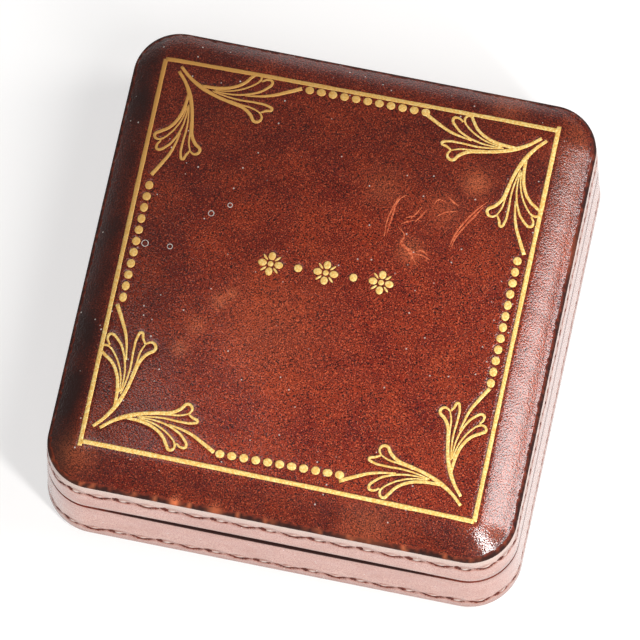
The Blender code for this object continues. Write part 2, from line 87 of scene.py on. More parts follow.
# Outside of the case, from the frame and from the wall's own sizes
TOP_LOW, TOP_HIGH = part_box("lid_top_leather")
LID_BAND_LOW, LID_BAND_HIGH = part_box("lid_side_leather")
BASE_BAND_LOW, BASE_BAND_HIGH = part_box("base_side_leather")
TOP_LEATHER = 1.1 * MM
SIDE_LEATHER = 0.9 * MM
RIDGE_HEIGHT = TOP_LOW.z + TOP_LEATHER
RIDGE_HALF = Vector((TOP_HIGH.x, TOP_HIGH.y))
WALL_LEAN = 1.2 * MM  # how far the ridge lies inside the bottom edge
FOOT_HALF = RIDGE_HALF + Vector((WALL_LEAN, WALL_LEAN))
FOOT_RADIUS = 11.5 * MM
RIDGE_RADIUS = FOOT_RADIUS - WALL_LEAN
BOTTOM_ROUND = 1.8 * MM
RIM_ROUND = 0.5 * MM
BOTTOM_TURN_IN = 7.5 * MM
BASE_RIM_TURN_IN = 7.5 * MM
LID_RIM_TURN_IN = 6.6 * MM

# Waves of the uneven lid, as lengths along x and y: broad, slanting, and puckers over the strained edge
WANDER = (9.3 * MM, 11.7 * MM)
RIPPLE = (4.1 * MM, 6.7 * MM)
PUCKER = (1.3 * MM, 2.1 * MM)
CROSS_PUCKER = (3.1 * MM, 1.9 * MM)

# Hinge line, and the room that the bands leave for the hinges
AXIS = Vector(frame["joints"][0]["pos_m"])
STOP_HALF_ANGLE = math.radians(frame["joints"][0]["range_deg"][1] / 2 + 1)
BARREL_ROOM = 1.65 * MM
LEAF_ROOM = 0.2 * MM
HINGES = ("hinge_left", "hinge_right")
SCREWS = [
    f"{hinge}_{side}_screw_{number}" for hinge in HINGES for side in ("base", "lid") for number in (1, 2)
]

# Gilt tooling on the lid, in millimetres from the middle of the lid: x to the right, y to the back
BORDER_CORNERS = ((-44.2, 44.7), (42.0, 45.6), (42.1, -44.2), (-43.4, -43.6))
BORDER_OVERSHOOT = (1.0, 0.0, 1.1, 0.0)
# Rows of dots: the first, the last, and how many
DOT_ROWS = (
    ((-12.2, 43.55), (13.3, 43.7), 11),
    ((-41.4, 15.4), (-41.4, -10.55), 11),
    ((-13.7, -40.7), (12.15, -40.1), 11),
    ((39.4, 14.5), (39.4, -13.6), 12),
)
# Each spray of the corners: where its stem starts, and where its tendril ends
SPRAYS = (
    ((-40.5, 43.5), (-13.9, 43.6)),
    ((-40.75, 42.3), (-41.5, 17.8)),
    ((38.9, 43.0), (13.1, 43.5)),
    ((40.1, 42.7), (40.5, 16.2)),
    ((38.6, -41.4), (12.3, -41.4)),
    ((38.2, -39.4), (39.4, -14.8)),
    ((-40.0, -40.0), (-15.0, -40.6)),
    ((-41.5, -39.95), (-42.3, -12.3)),
)
# Strokes of the spray tool: along the border, inwards from it, and width
SPRAY_STROKES = (
    (
        (0, 0, 0.7), (2.3, 2.0, 0.75), (5.0, 3.6, 1.0), (8.0, 4.8, 0.8), (11.7, 5.7, 0.75),
        (14.7, 6.4, 0.75), (16.4, 7.5, 0.75), (17.7, 8.9, 0.7), (18.7, 8.5, 0.65), (18.9, 7.7, 0.5),
        (18.4, 6.8, 0.4),
    ),
    ((11.2, 5.3, 0.3), (14.0, 5.8, 0.4), (16.6, 6.1, 0.4), (18.4, 6.8, 0.3)),
    (
        (18.4, 6.7, 0.4), (19.4, 6.1, 0.55), (20.6, 5.5, 0.65), (19.6, 4.9, 0.55), (17.0, 4.7, 0.48),
        (13.0, 4.8, 0.42), (9.7, 4.45, 0.35), (7.5, 4.0, 0.3),
    ),
    (
        (5.0, 3.4, 0.7), (9.2, 3.05, 0.75), (11.8, 2.2, 0.7), (13.8, 0.8, 0.7), (15.1, -1.0, 0.7),
        (15.8, -1.9, 0.7), (16.6, -1.7, 0.6), (16.9, -0.7, 0.5), (16.4, 0.3, 0.4),
    ),
    ((7.8, 3.75, 0.25), (10.8, 3.35, 0.35), (13.5, 2.35, 0.38), (15.2, 1.3, 0.4), (16.5, 0.2, 0.35)),
    (
        (17.1, -0.2, 0.4), (18.4, -0.9, 0.55), (19.3, -0.6, 0.65), (18.2, 1.4, 0.55), (16.0, 2.8, 0.48),
        (13.2, 3.7, 0.42), (10.5, 4.0, 0.35), (8.0, 3.95, 0.3),
    ),
    ((14.5, 3.7, 0.3), (19.4, 2.6, 0.65), (23.0, 0.9, 0.8), (25.6, -0.5, 0.9)),
)
FLORETS = ((-12.0, 2.7), (0.0, 3.0), (12.0, 3.3))
FLORET_DOTS = ((-6.0, 2.85), (6.0, 3.15))

# Wear on the lid, in millimetres: fibres torn by scratches
SCRATCHES = (
    ((13.3, 24.0), (11.9, 22.6), (11.2, 18.4), (10.9, 14.2)),
    ((11.9, 23.6), (11.0, 20.6), (10.4, 17.8), (10.5, 13.7)),
    ((13.4, 17.2), (14.6, 18.0), (16.2, 18.7)),
    ((14.2, 18.8), (15.0, 19.3), (16.0, 19.6)),
    ((12.9, 16.5), (14.7, 14.7), (14.2, 13.0), (15.7, 12.0), (17.5, 10.2), (18.5, 8.8)),
    ((14.4, 13.6), (15.1, 12.6), (16.9, 11.4), (17.2, 9.6)),
    ((15.6, 11.9), (17.3, 11.2), (19.2, 11.2), (21.0, 10.6)),
    ((17.8, 11.8), (19.0, 12.2), (20.6, 11.3)),
    ((16.2, 18.2), (17.4, 20.2), (18.4, 22.0)),
    ((15.2, 18.9), (16.2, 20.4), (17.0, 21.9)),
    ((30.7, 26.5), (28.3, 23.5), (26.2, 19.9), (25.1, 17.0), (24.6, 14.4)),
    ((29.9, 25.0), (28.4, 22.4), (26.4, 18.8), (25.4, 16.6), (25.0, 14.4)),
    ((21.9, 25.6), (23.3, 24.6), (24.6, 24.0)),
    ((19.4, 23.1), (20.2, 24.4), (21.9, 24.1)),
    ((20.6, 20.6), (22.0, 21.8), (24.7, 22.7)),
)
# Rubbed patches: x, y, reach and strength; the broad faint one at (-10, -12) is a painted sheen, laid as wear
RUBBED_AND_SHEEN = (
    (27.3, 29.8, 2.6, 0.5), (8.3, 24.5, 4.0, 0.18), (16.5, 11.5, 2.6, 0.45), (22.0, 22.0, 4.0, 0.18),
    (-21.2, -52.0, 0.9, 0.9), (-12.5, -52.2, 1.3, 0.45), (-10.0, -12.0, 12.0, 0.16), (20.0, -49.0, 5.0, 0.2),
    (-44.0, -46.0, 4.0, 0.25), (47.5, 20.0, 5.0, 0.2), (30.0, 49.5, 4.0, 0.2), (-20.8, -7.7, 2.2, 0.4),
    (-18.6, -5.6, 1.6, 0.4), (-27.0, -19.6, 2.0, 0.35), (-24.5, -14.0, 2.4, 0.28),
)
# Rings of dried drips: x, y and radius
DRIPS = ((-26.9, 11.5, 0.6), (-23.3, 14.1, 0.5), (-34.0, 2.5, 0.55), (-39.4, 2.25, 0.7))

# Cloth simulation: enlargement, steps, and how far a point may move
CLOTH_SCALE = 10
CLOTH_FRAMES = 20
CLOTH_CAP = 4 * MM

# Sockets of Blender's Mix node when it mixes colours
FACTOR, FIRST, SECOND, MIXED = 0, 6, 7, 2


def linear(hex_colour):
    """Linear colour of an sRGB hex value such as #A05030."""
    shares = [int(hex_colour[place : place + 2], 16) / 255 for place in (1, 3, 5)]
    return tuple(s / 12.92 if s <= 0.04045 else ((s + 0.055) / 1.055) ** 2.4 for s in shares)


def length(name, description, millimetres):
    """Property for a length that is given in millimetres."""
    return FloatProperty(
        name=name, description=description, default=millimetres * MM, precision=5, unit="LENGTH"
    )


def colour(name, description, hex_colour):
    """Property for a colour that is given as an sRGB hex value."""
    return FloatVectorProperty(
        name=name, description=description, subtype="COLOR", size=3, min=0, max=1, default=linear(hex_colour)
    )


def angle(name, description, degrees):
    """Property for an angle that is given in degrees."""
    return FloatProperty(name=name, description=description, default=math.radians(degrees), subtype="ANGLE")


def radiance(name, description, level):
    """Property for the brightness of a lamp or of the room."""
    return FloatProperty(name=name, description=description, default=level, min=0)


class CaseSizes(PropertyGroup):
    """Sizes of the finish."""

    edge_rise: length("Edge rise", "How far the lid climbs over its bevelled edge", 3.5)
    edge_reach: length("Edge reach", "How far the bevelled edge reaches in from the ridge", 9.5)
    unevenness: length("Unevenness", "How far the covered lid strays from a true dome", 0.1)
    gilt_line: length("Gilt line", "Width of the border line", 1.0)
    dot_length: length("Dot length", "Length of a gilt dot along its row", 2.0)
    dot_width: length("Dot width", "Width of a gilt dot across its row", 1.75)
    floret: length("Floret", "Reach of a floret's petals", 2.6)
    tool_depth: length("Tool depth", "How deep the gilt tools are pressed into the calf", 0.06)
    leaf_thickness: length("Gilt thickness", "Height of the gilt surface above its edges", 0.05)
    grain: length("Grain", "Width of one pebble of the calf's grain", 0.27)
    roll_period: length("Roll period", "Length of one wave of the blind roll", 10.5)
    roll_wave: length("Roll wave", "How far the roll's wave swings from its middle", 1.05)
    roll_line: length("Roll line", "Width of the roll's wave line", 0.6)
    roll_leaf: length("Roll leaf", "Length of the almond leaves in the roll's bends", 2.9)
    roll_leaf_height: length("Roll leaf height", "Height of those leaves", 1.4)
    roll_depth: length("Roll depth", "How deep the blind roll is pressed", 0.25)
    lid_roll_drop: length("Lid roll drop", "How far the lid's roll lies below the ridge", 4.5)
    base_roll_rise: length("Base roll rise", "How far the base's roll lies above the table", 5.0)
    lid_roll_start: length("Lid roll start", "Where the lid's roll starts, from the base's", 1.6)
    lid_bow: length("Lid bow", "How far the lid's rim has drawn up in the middle of the front", 0.75)
    base_bow: length("Base bow", "How far the base's rim has sunk in the middle of the front", 0.7)
    scratch: length("Scratch", "Width of a torn fibre on the lid", 0.5)


class CaseColours(PropertyGroup):
    """Colours of the finish."""

    calf_deep: colour("Calf, deep", "Dye in the hollows of the top calf", "#240402")
    calf_middle: colour("Calf, middle", "Body colour of the top calf", "#7E1D0A")
    calf_light: colour("Calf, light", "Rubbed high spots of the top calf", "#9F3515")
    # Paler tips of the grain: a painted highlight on the pebbles, with some rubbing
    calf_tip_highlight: colour("Calf, tips", "Rubbed tips of the top calf's grain", "#E4683F")
    # The burnt colour also lays the painted shade of the lid, and the painted shadow along the ridge and the
    # parting
    calf_burnt_and_shade: colour("Calf, burnt", "Calf darkened at its edge and under hot tools", "#2C1410")
    calf_scorched: colour("Calf, scorched", "Paler scorching in the pressed lines", "#6E2A1B")
    # The bared colour also lays a painted sheen and a painted highlight on the lid
    calf_bared_and_sheen: colour("Calf, bared", "Undyed fibres where the skin is torn", "#D8744A")
    # The bands are paler than the top calf to stand in for the glare on them: painted reflection
    side_deep: colour("Side calf, deep", "Dye in the hollows of the bands", "#A56C5C")
    side_middle: colour("Side calf", "Body colour of the bands", "#B57C6D")
    side_light: colour("Side calf, light", "Rubbed high spots of the bands", "#C59384")
    # The dust colour also lays the painted highlight under the ridge and in the roll's leaves
    dust_and_highlight_colour: colour("Dust", "Dust and dried drips on the calf", "#CFC4BB")
    gold: colour("Gold leaf", "Gilding where the leaf is whole", "#FFE596")
    # Darker gilding where the painted shade of the lid falls on it
    gold_in_painted_shade: colour("Gold leaf, worn", "Gilding that has darkened", "#C08A45")
    gold_dull: colour("Gold leaf, dull", "Gilding where the leaf is thin", "#EEBB60")
    velvet: colour("Velvet", "Pile of the velvet", "#5A1523")
    satin: colour("Satin", "Silk of the lid", "#E0CDA6")
    brass: colour("Brass", "Clean brass", "#DDB565")
    tarnish: colour("Tarnish", "Brass dulled by air", "#9A7238")
    poplar: colour("Poplar", "Wood of the carcass", "#CDB288")
    card: colour("Card", "Pulp board of the collar", "#A08A6A")
    skiver: colour("Skiver", "Thin leather under the base", "#4B2B21")
    floor: colour("Floor", "Matt pale floor", "#AFADAB")


class CaseStage(PropertyGroup):
    """Camera and light."""

    azimuth: angle("Azimuth", "Way the camera looks, from the back of the case", -14.93)
    elevation: angle("Elevation", "Height of the camera above the table", 71.417)
    roll: angle("Roll", "Lean of the picture", 3.047)
    distance: length("Distance", "Camera to the point it looks at", 1723.4)
    aim: FloatVectorProperty(
        name="Aim", description="Point that the camera looks at", default=(-0.00058, -0.00164, 0.018), size=3,
        subtype="XYZ",
    )
    lens: FloatProperty(name="Lens", description="Focal length in millimetres", default=450, min=1)
    key: radiance("Key", "Radiance of the softbox at the right", 7.9)
    fill: radiance("Fill", "Radiance of the softbox in front", 4.7)
    strip: radiance("Strip", "Radiance of the strip light at the front corner", 36)
    back: radiance("Back", "Radiance of the softbox at the back", 2.0)
    sheen: radiance("Sheen", "Radiance of the softbox overhead at the left", 2.8)
    sky: radiance("Sky", "Brightness of the room overhead", 0.1)
    seed: IntProperty(name="Seed", description="Seed of the hand-made unevenness", default=7)


def add(tree, kind, inputs=(), **settings):
    """Add a node with its settings. Its inputs come by name, or as a list in the order of its sockets, and
    each takes a value, an output to link from, or a node, for its first output."""
    made = tree.nodes.new(kind)
    for name, value in settings.items():
        setattr(made, name, value)
    for name, value in inputs.items() if isinstance(inputs, dict) else enumerate(inputs):
        source = value.outputs[0] if isinstance(value, bpy.types.Node) else value
        if isinstance(source, bpy.types.NodeSocket):
            tree.links.new(source, made.inputs[name])
        else:
            made.inputs[name].default_value = source
    return made


def rgba(shade, keep=(1, 1, 1)):
    """Colour with full alpha, of which a share of the red, the green and the blue is kept."""
    return (*(min(1, share * part) for share, part in zip(shade, keep)), 1.0)


def empty_tree(block):
    """Node tree of a new material or world, with nothing in it."""
    block.use_nodes = True
    block.node_tree.nodes.clear()
    return block.node_tree


def new_material(name, sockets):
    """Material with a Principled shader; returns it with its tree, shader and object coordinates."""
    material = bpy.data.materials.new(name)
    tree = empty_tree(material)
    shader = add(tree, "ShaderNodeBsdfPrincipled", sockets)
    add(tree, "ShaderNodeOutputMaterial", {"Surface": shader})
    place = add(tree, "ShaderNodeTexCoord").outputs["Object"]
    return material, tree, shader, place


def mottled(tree, place, width, limits, first, second, detail=4.0):
    """Shade that passes from one colour to another in soft patches of a width; returns it with its noise."""
    noise = add(tree, "ShaderNodeTexNoise", {"Vector": place, "Scale": 1 / width, "Detail": detail})
    share = add(tree, "ShaderNodeMapRange", (noise, *limits))
    shade = add(tree, "ShaderNodeMix", {FACTOR: share, FIRST: first, SECOND: second}, data_type="RGBA")
    return shade.outputs[MIXED], noise


def surface(tree, shader, shade, height, strength, depth):
    """Give a shader its shade, and the small relief of its surface."""
    relief = add(tree, "ShaderNodeBump", {"Height": height, "Strength": strength, "Distance": depth})
    tree.links.new(shade, shader.inputs["Base Color"])
    tree.links.new(relief.outputs[0], shader.inputs["Normal"])


def made_once(make):
    """Make a material the first time that it is asked for, under the name of the function that makes it."""

    def kept(context):
        name = make.__name__
        return bpy.data.materials.get(name) or make(name, context.scene)

    return kept


def calf(name, shades, grain, shine, wax_index):
    """Aniline-dyed calf, pasted down damp and polished with wax: dark dye in the pits of a fine pebble grain,
    lighter between them and where it is rubbed, and a waxy shine that the pits break up. Paler tips of the
    grain are a painted highlight, and its marks lay painted shade, shadow, sheen and highlight besides burns,
    wear and dust."""
    deep, middle, light, tips, burnt_and_shade, bared_and_sheen, dust_and_highlight_colour = (rgba(shade) for shade in shades)
    wax = {"Coat Weight": 1.0, "Coat Roughness": shine, "Coat IOR": wax_index}
    material, tree, shader, place = new_material(name, {"IOR": 1.5, "Specular IOR Level": 0.2, **wax})
    shade, cloud = mottled(tree, place, 9 * MM, (0.35, 0.68), middle, light)
    blotch = add(tree, "ShaderNodeTexNoise", {"Vector": place, "Scale": 1 / (2.2 * MM), "Detail": 4.0})
    speck = add(tree, "ShaderNodeTexNoise", {"Vector": place, "Scale": 1 / grain, "Detail": 2.0})
    pebbles = {"Vector": place, "Scale": 1 / (1.4 * grain)}
    pebble = add(tree, "ShaderNodeTexVoronoi", pebbles, feature="SMOOTH_F1")
    crumb = add(tree, "ShaderNodeTexVoronoi", {"Vector": place, "Scale": 1 / (2.8 * MM)})
    painted_shade, scorch_and_painted_shade, wear_and_sheen, pale = (
        add(tree, "ShaderNodeAttribute", attribute_name=mark).outputs["Fac"]
        for mark in ("painted_shade", "scorch_and_painted_shade", "wear_and_sheen", "pale")
    )
    pit = add(tree, "ShaderNodeMapRange", (speck, 0.4, 0.54, 1.0, 0.0))
    # Paler tips of the grain: painted highlight, with some rubbing
    tip = add(tree, "ShaderNodeMapRange", (pebble, 0.1, 0.34, 0.8, 0.0))
    mottle = add(tree, "ShaderNodeMapRange", (cloud, 0.38, 0.62, 1.0, 0.85))
    # Painted shade over the lid away from the lamps, broken up by the mottle, laid with the burns
    mottled_painted_shade = add(tree, "ShaderNodeMath", (painted_shade, mottle), operation="MULTIPLY")
    dark = add(tree, "ShaderNodeMath", (mottled_painted_shade, scorch_and_painted_shade), operation="MAXIMUM")
    # Torn fibres and rubbing, and the painted sheen that is laid in the same mark
    fibre = add(tree, "ShaderNodeMapRange", (speck, 0.4, 0.6, 0.2, 1.3))
    torn = add(tree, "ShaderNodeMath", (wear_and_sheen, fibre), operation="MULTIPLY", use_clamp=True)
    # Dust specks, and the painted highlight of the pale mark
    fleck = add(tree, "ShaderNodeMapRange", (crumb, 0.05, 0.075, 0.8, 0.0))
    dust_and_highlight = add(tree, "ShaderNodeMath", (fleck, pale), operation="MAXIMUM", use_clamp=True)
    for share, over in ((pit, deep), (tip, tips), (dark, burnt_and_shade), (torn, bared_and_sheen), (dust_and_highlight, dust_and_highlight_colour)):
        laid = add(tree, "ShaderNodeMix", {FACTOR: share, FIRST: shade, SECOND: over}, data_type="RGBA")
        shade = laid.outputs[MIXED]
    polish = add(tree, "ShaderNodeMapRange", (blotch, 0.3, 0.7, shine + 0.18, shine + 0.36))
    tree.links.new(polish.outputs[0], shader.inputs["Roughness"])
    height = add(tree, "ShaderNodeMath", (pebble, -0.8, speck), operation="MULTIPLY_ADD")
    skin = add(tree, "ShaderNodeBump", {"Height": height, "Strength": 0.4, "Distance": 0.09 * MM})
    tree.links.new(skin.outputs[0], shader.inputs["Coat Normal"])
    surface(tree, shader, shade, height, 0.8, 0.09 * MM)
    return material


@made_once
def calf_top(name, scene):
    """Calf of the lid's top."""
    c = scene.case_colours
    shades = (c.calf_deep, c.calf_middle, c.calf_light, c.calf_tip_highlight, c.calf_burnt_and_shade, c.calf_bared_and_sheen, c.dust_and_highlight_colour)
    return calf(name, shades, scene.case_sizes.grain, 0.11, 1.7)


@made_once
def calf_side_painted_glare(name, scene):
    """Calf of the bands, skived thinner than the top and waxed less, in paler colours that are a painted
    reflection of the glare on them.
    """
    c = scene.case_colours
    shades = (c.side_deep, c.side_middle, c.side_light, c.side_light, c.calf_burnt_and_shade, c.calf_bared_and_sheen, c.dust_and_highlight_colour)
    return calf(name, shades, scene.case_sizes.grain, 0.15, 1.5)


@made_once
def calf_burnished_and_shaded(name, scene):
    """Calf at its pared edge and under hot tools: scorched nearly black, dry and matt beside the wax. On the
    lid's edge and the rims by the parting its darkness is also a painted shadow, and in the roll a painted
    shade.
    """
    colours = scene.case_colours
    material, tree, shader, place = new_material(
        name, {"Roughness": 0.65, "IOR": 1.5, "Specular IOR Level": 0.15}
    )
    char = add(tree, "ShaderNodeTexNoise", {"Vector": place, "Scale": 1 / (0.8 * MM), "Detail": 3.0})
    spread = add(tree, "ShaderNodeMapRange", (char, 0.3, 0.6, 0.3, 1.6))
    scorch_and_painted_shade, wear_and_sheen = (
        add(tree, "ShaderNodeAttribute", attribute_name=mark).outputs["Fac"] for mark in ("scorch_and_painted_shade", "wear_and_sheen")
    )
    spared = add(tree, "ShaderNodeMath", (1.0, scorch_and_painted_shade), operation="SUBTRACT", use_clamp=True)
    paler = add(tree, "ShaderNodeMath", (spread, spared), operation="MULTIPLY")
    shade = rgba(colours.calf_burnt_and_shade)
    for share, over in ((paler, rgba(colours.calf_scorched)), (wear_and_sheen, rgba(colours.calf_bared_and_sheen))):
        laid = add(tree, "ShaderNodeMix", {FACTOR: share, FIRST: shade, SECOND: over}, data_type="RGBA")
        shade = laid.outputs[MIXED]
    surface(tree, shader, shade, char, 0.5, 0.1 * MM)
    return material


@made_once
def calf_torn_fibres(name, scene):
    """Fibres torn up from the skin: undyed orange-brown, dry and matt."""
    dyed, bare = rgba(scene.case_colours.calf_light), rgba(scene.case_colours.calf_bared_and_sheen)
    material, tree, shader, place = new_material(name, {"Roughness": 0.8, "IOR": 1.45})
    shade, strand = mottled(tree, place, 0.4 * MM, (0.35, 0.65), dyed, bare, detail=2.0)
    surface(tree, shader, shade, strand, 0.6, 0.08 * MM)
    return material


@made_once
def gold_leaf_tooled(name, scene):
    """Gold leaf pressed in with warm tools: soft metal, thin and dull in places, with crumbled specks."""
    colours = scene.case_colours
    whole, thin, shaded_gold = rgba(colours.gold), rgba(colours.gold_dull), rgba(colours.gold_in_painted_shade)
    material, tree, shader, place = new_material(name, {"Metallic": 0.3})
    leaf, crumble = mottled(tree, place, 0.45 * MM, (0.42, 0.62, 1.0, 0.0), whole, thin, detail=3.0)
    # Painted shade: the leaf darkens with the calf round it, most towards the back left
    painted_shade = add(tree, "ShaderNodeAttribute", attribute_name="painted_shade").outputs["Fac"]
    painted_shading = add(tree, "ShaderNodeMix", {FACTOR: painted_shade, FIRST: leaf, SECOND: shaded_gold}, data_type="RGBA")
    sheet = add(tree, "ShaderNodeTexNoise", {"Vector": place, "Scale": 1 / (5 * MM), "Detail": 2.0})
    dull = add(tree, "ShaderNodeMapRange", (sheet, 0.3, 0.7, 0.5, 0.68))
    tree.links.new(dull.outputs[0], shader.inputs["Roughness"])
    surface(tree, shader, painted_shading.outputs[MIXED], crumble, 0.5, 0.05 * MM)
    return material


@made_once
def cotton_velvet(name, scene):
    """Cotton velvet: short upright pile, dark straight on and paler where it is seen edge on or brushed."""
    dyed = scene.case_colours.velvet
    dark, brushed_up = rgba(dyed, (0.45, 0.45, 0.45)), rgba(dyed, (2.2, 2.2, 2.2))
    pile_sheen = {"Sheen Weight": 0.9, "Sheen Roughness": 0.35, "Sheen Tint": brushed_up}
    material, tree, shader, place = new_material(name, {"Roughness": 0.95, **pile_sheen})
    # The pile is about 0.1 mm apart, and is drawn at 0.45 mm so that it shows
    pile = add(tree, "ShaderNodeTexNoise", {"Vector": place, "Scale": 1 / (0.45 * MM), "Detail": 2.0})
    brushed = add(tree, "ShaderNodeTexNoise", {"Vector": place, "Scale": 1 / (9 * MM), "Detail": 3.0})
    both = add(tree, "ShaderNodeMath", (pile, 0.5, brushed), operation="MULTIPLY_ADD")
    lay = add(tree, "ShaderNodeMapRange", (both, 0.5, 1.0))
    shade = add(tree, "ShaderNodeMix", {FACTOR: lay, FIRST: dark, SECOND: rgba(dyed)}, data_type="RGBA")
    surface(tree, shader, shade.outputs[MIXED], pile, 0.7, 0.12 * MM)
    return material


@made_once
def silk_satin(name, scene):
    """Silk satin, woven with long floats: smooth, with a soft stretched shine and faint lines of thread."""
    silk = scene.case_colours.satin
    shine = {"IOR": 1.54, "Anisotropic": 0.5, "Sheen Weight": 0.25}
    material, tree, shader, place = new_material(name, shine)
    tone, _ = mottled(
        tree, place, 14 * MM, (0.4, 0.7, 0.0, 0.6), rgba(silk), rgba(silk, (0.86, 0.76, 0.6)), detail=3.0
    )
    # The threads are about 0.1 mm apart, and are drawn at 0.5 mm so that they show
    weave = {"Scale": 1 / (0.5 * MM) / 20, "Distortion": 0.6, "Detail": 1.0, "Detail Scale": 1.0}
    wave = add(tree, "ShaderNodeTexWave", {"Vector": place, **weave}, bands_direction="X")
    thread = wave.outputs["Fac"]
    floats = add(tree, "ShaderNodeMapRange", (thread, 0.0, 1.0, 0.3, 0.42))
    tree.links.new(floats.outputs[0], shader.inputs["Roughness"])
    surface(tree, shader, tone, thread, 0.25, 0.05 * MM)
    return material


@made_once
def rolled_brass_filed(name, scene):
    """Rolled brass, filed and lightly lacquered: warm metal with file lines, dulled in patches."""
    clean, tarnish = rgba(scene.case_colours.brass), rgba(scene.case_colours.tarnish)
    material, tree, shader, place = new_material(name, {"Metallic": 1.0})
    strokes = (1 / (6 * MM), 1 / (0.25 * MM), 1 / (0.25 * MM))
    stretched = add(tree, "ShaderNodeMapping", {"Vector": place, "Scale": strokes})
    file_lines = add(tree, "ShaderNodeTexNoise", {"Vector": stretched, "Scale": 1.0, "Detail": 2.0})
    tone, air = mottled(tree, place, 3 * MM, (0.45, 0.7, 0.0, 0.85), clean, tarnish)
    dull = add(tree, "ShaderNodeMapRange", (air, 0.3, 0.7, 0.24, 0.46))
    tree.links.new(dull.outputs[0], shader.inputs["Roughness"])
    surface(tree, shader, tone, file_lines, 0.2, 0.03 * MM)
    return material


@made_once
def planed_poplar(name, scene):
    """Planed poplar: pale, straight grained and bare, with darker late wood in each ring."""
    wood = scene.case_colours.poplar
    material, tree, shader, place = new_material(name, {"Roughness": 0.7, "IOR": 1.5})
    fibres = (1 / (30 * MM), 1 / (2.4 * MM), 1 / (2.4 * MM))
    along = add(tree, "ShaderNodeMapping", {"Vector": place, "Scale": fibres})
    tone, rings = mottled(tree, along, 1.0, (0.45, 0.65), rgba(wood), rgba(wood, (0.62, 0.55, 0.45)))
    surface(tree, shader, tone, rings, 0.3, 0.05 * MM)
    return material


def pulp(name, shade, flake, roughness):
    """Pressed fibre, as in card or thin split leather: matt, with a fine uneven fleck."""
    material, tree, shader, place = new_material(name, {"Roughness": roughness, "IOR": 1.5})
    tone, fleck = mottled(tree, place, flake, (0.35, 0.65), rgba(shade, (0.55, 0.55, 0.55)), rgba(shade))
    surface(tree, shader, tone, fleck, 0.4, 0.06 * MM)
    return material


def dress(material, *nodes):
    """Give solids of the frame a material."""
    for node in nodes:
        slots = frame["nodes"][node].data.materials
        slots.clear()
        slots.append(material)


def stand_in(piece, node, body):
    """Let a piece take the place of a solid of the frame."""
    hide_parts(node)
    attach(piece, body)


def new_piece(name, shape, material, smooth=True):
    """Object from a bmesh, with one material."""
    bmesh.ops.recalc_face_normals(shape, faces=shape.faces[:])
    mesh = bpy.data.meshes.new(name)
    shape.to_mesh(mesh)
    shape.free()
    mesh.materials.append(material)
    if smooth:
        mesh.shade_smooth()
    piece = bpy.data.objects.new(name, mesh)
    bpy.context.scene.collection.objects.link(piece)
    return piece


def keep_modified(piece):
    """Make the result of a piece's modifiers its own mesh."""
    result = bpy.data.meshes.new_from_object(piece.evaluated_get(bpy.context.evaluated_depsgraph_get()))
    piece.modifiers.clear()
    old = piece.data
    piece.data = result
    bpy.data.meshes.remove(old)


def cut_out(piece, cutters):
    """Cut closed shapes out of a piece, and keep the result as its mesh."""
    made = []
    for number, shape in enumerate(cutters):
        cutter = new_piece(f"{piece.name}_cutter_{number}", shape, piece.data.materials[0], smooth=False)
        cut = piece.modifiers.new(cutter.name, "BOOLEAN")
        cut.object = cutter
        cut.operation = "DIFFERENCE"
        cut.solver = "MANIFOLD"
        made.append(cutter)
    keep_modified(piece)
    for cutter in made:
        bpy.data.objects.remove(cutter)


def bridge(shape, rings):
    """Join rings of vertices, each to the next, by four-sided faces."""
    for ring, following in zip(rings, rings[1:]):
        for index in range(len(ring)):
            shape.faces.new((ring[index - 1], ring[index], following[index], following[index - 1]))


def points_of(mesh):
    """Vertices of a mesh as an array of rows."""
    flat = np.empty(len(mesh.vertices) * 3)
    mesh.vertices.foreach_get("co", flat)
    return flat.reshape(-1, 3)


def move_points(mesh, points):
    """Put the vertices of a mesh at the rows of an array."""
    mesh.vertices.foreach_set("co", points.ravel())
    mesh.update()


def paint(mesh, name, values):
    """Store one number for each vertex, for a material to read."""
    layer = mesh.attributes.new(name, "FLOAT", "POINT")
    layer.data.foreach_set("value", np.asarray(values, np.float32))


def mark_faces(mesh, values, limit, material):
    """Give one more material to the faces whose corners have a mean value over the limit."""
    mesh.materials.append(material)
    corners = np.empty(len(mesh.loops), np.int32)
    mesh.loops.foreach_get("vertex_index", corners)
    starts, sizes, kinds = (np.empty(len(mesh.polygons), np.int32) for _ in range(3))
    for field, numbers in (("loop_start", starts), ("loop_total", sizes), ("material_index", kinds)):
        mesh.polygons.foreach_get(field, numbers)
    means = np.add.reduceat(np.asarray(values)[corners], starts) / sizes
    kinds[means > limit] = len(mesh.materials) - 1
    mesh.polygons.foreach_set("material_index", kinds)


def fade(value, near, far):
    """1 up to near, 0 from far, and a smooth slope between."""
    share = np.clip((far - value) / (far - near), 0, 1)
    return share * share * (3 - 2 * share)


def ridge_inset(x, y):
    """How far points of the plan lie inside the ridge."""
    over_x = np.abs(x) - (RIDGE_HALF.x - RIDGE_RADIUS)
    over_y = np.abs(y) - (RIDGE_HALF.y - RIDGE_RADIUS)
    outside = np.hypot(np.maximum(over_x, 0), np.maximum(over_y, 0))
    return RIDGE_RADIUS - outside - np.minimum(np.maximum(over_x, over_y), 0)


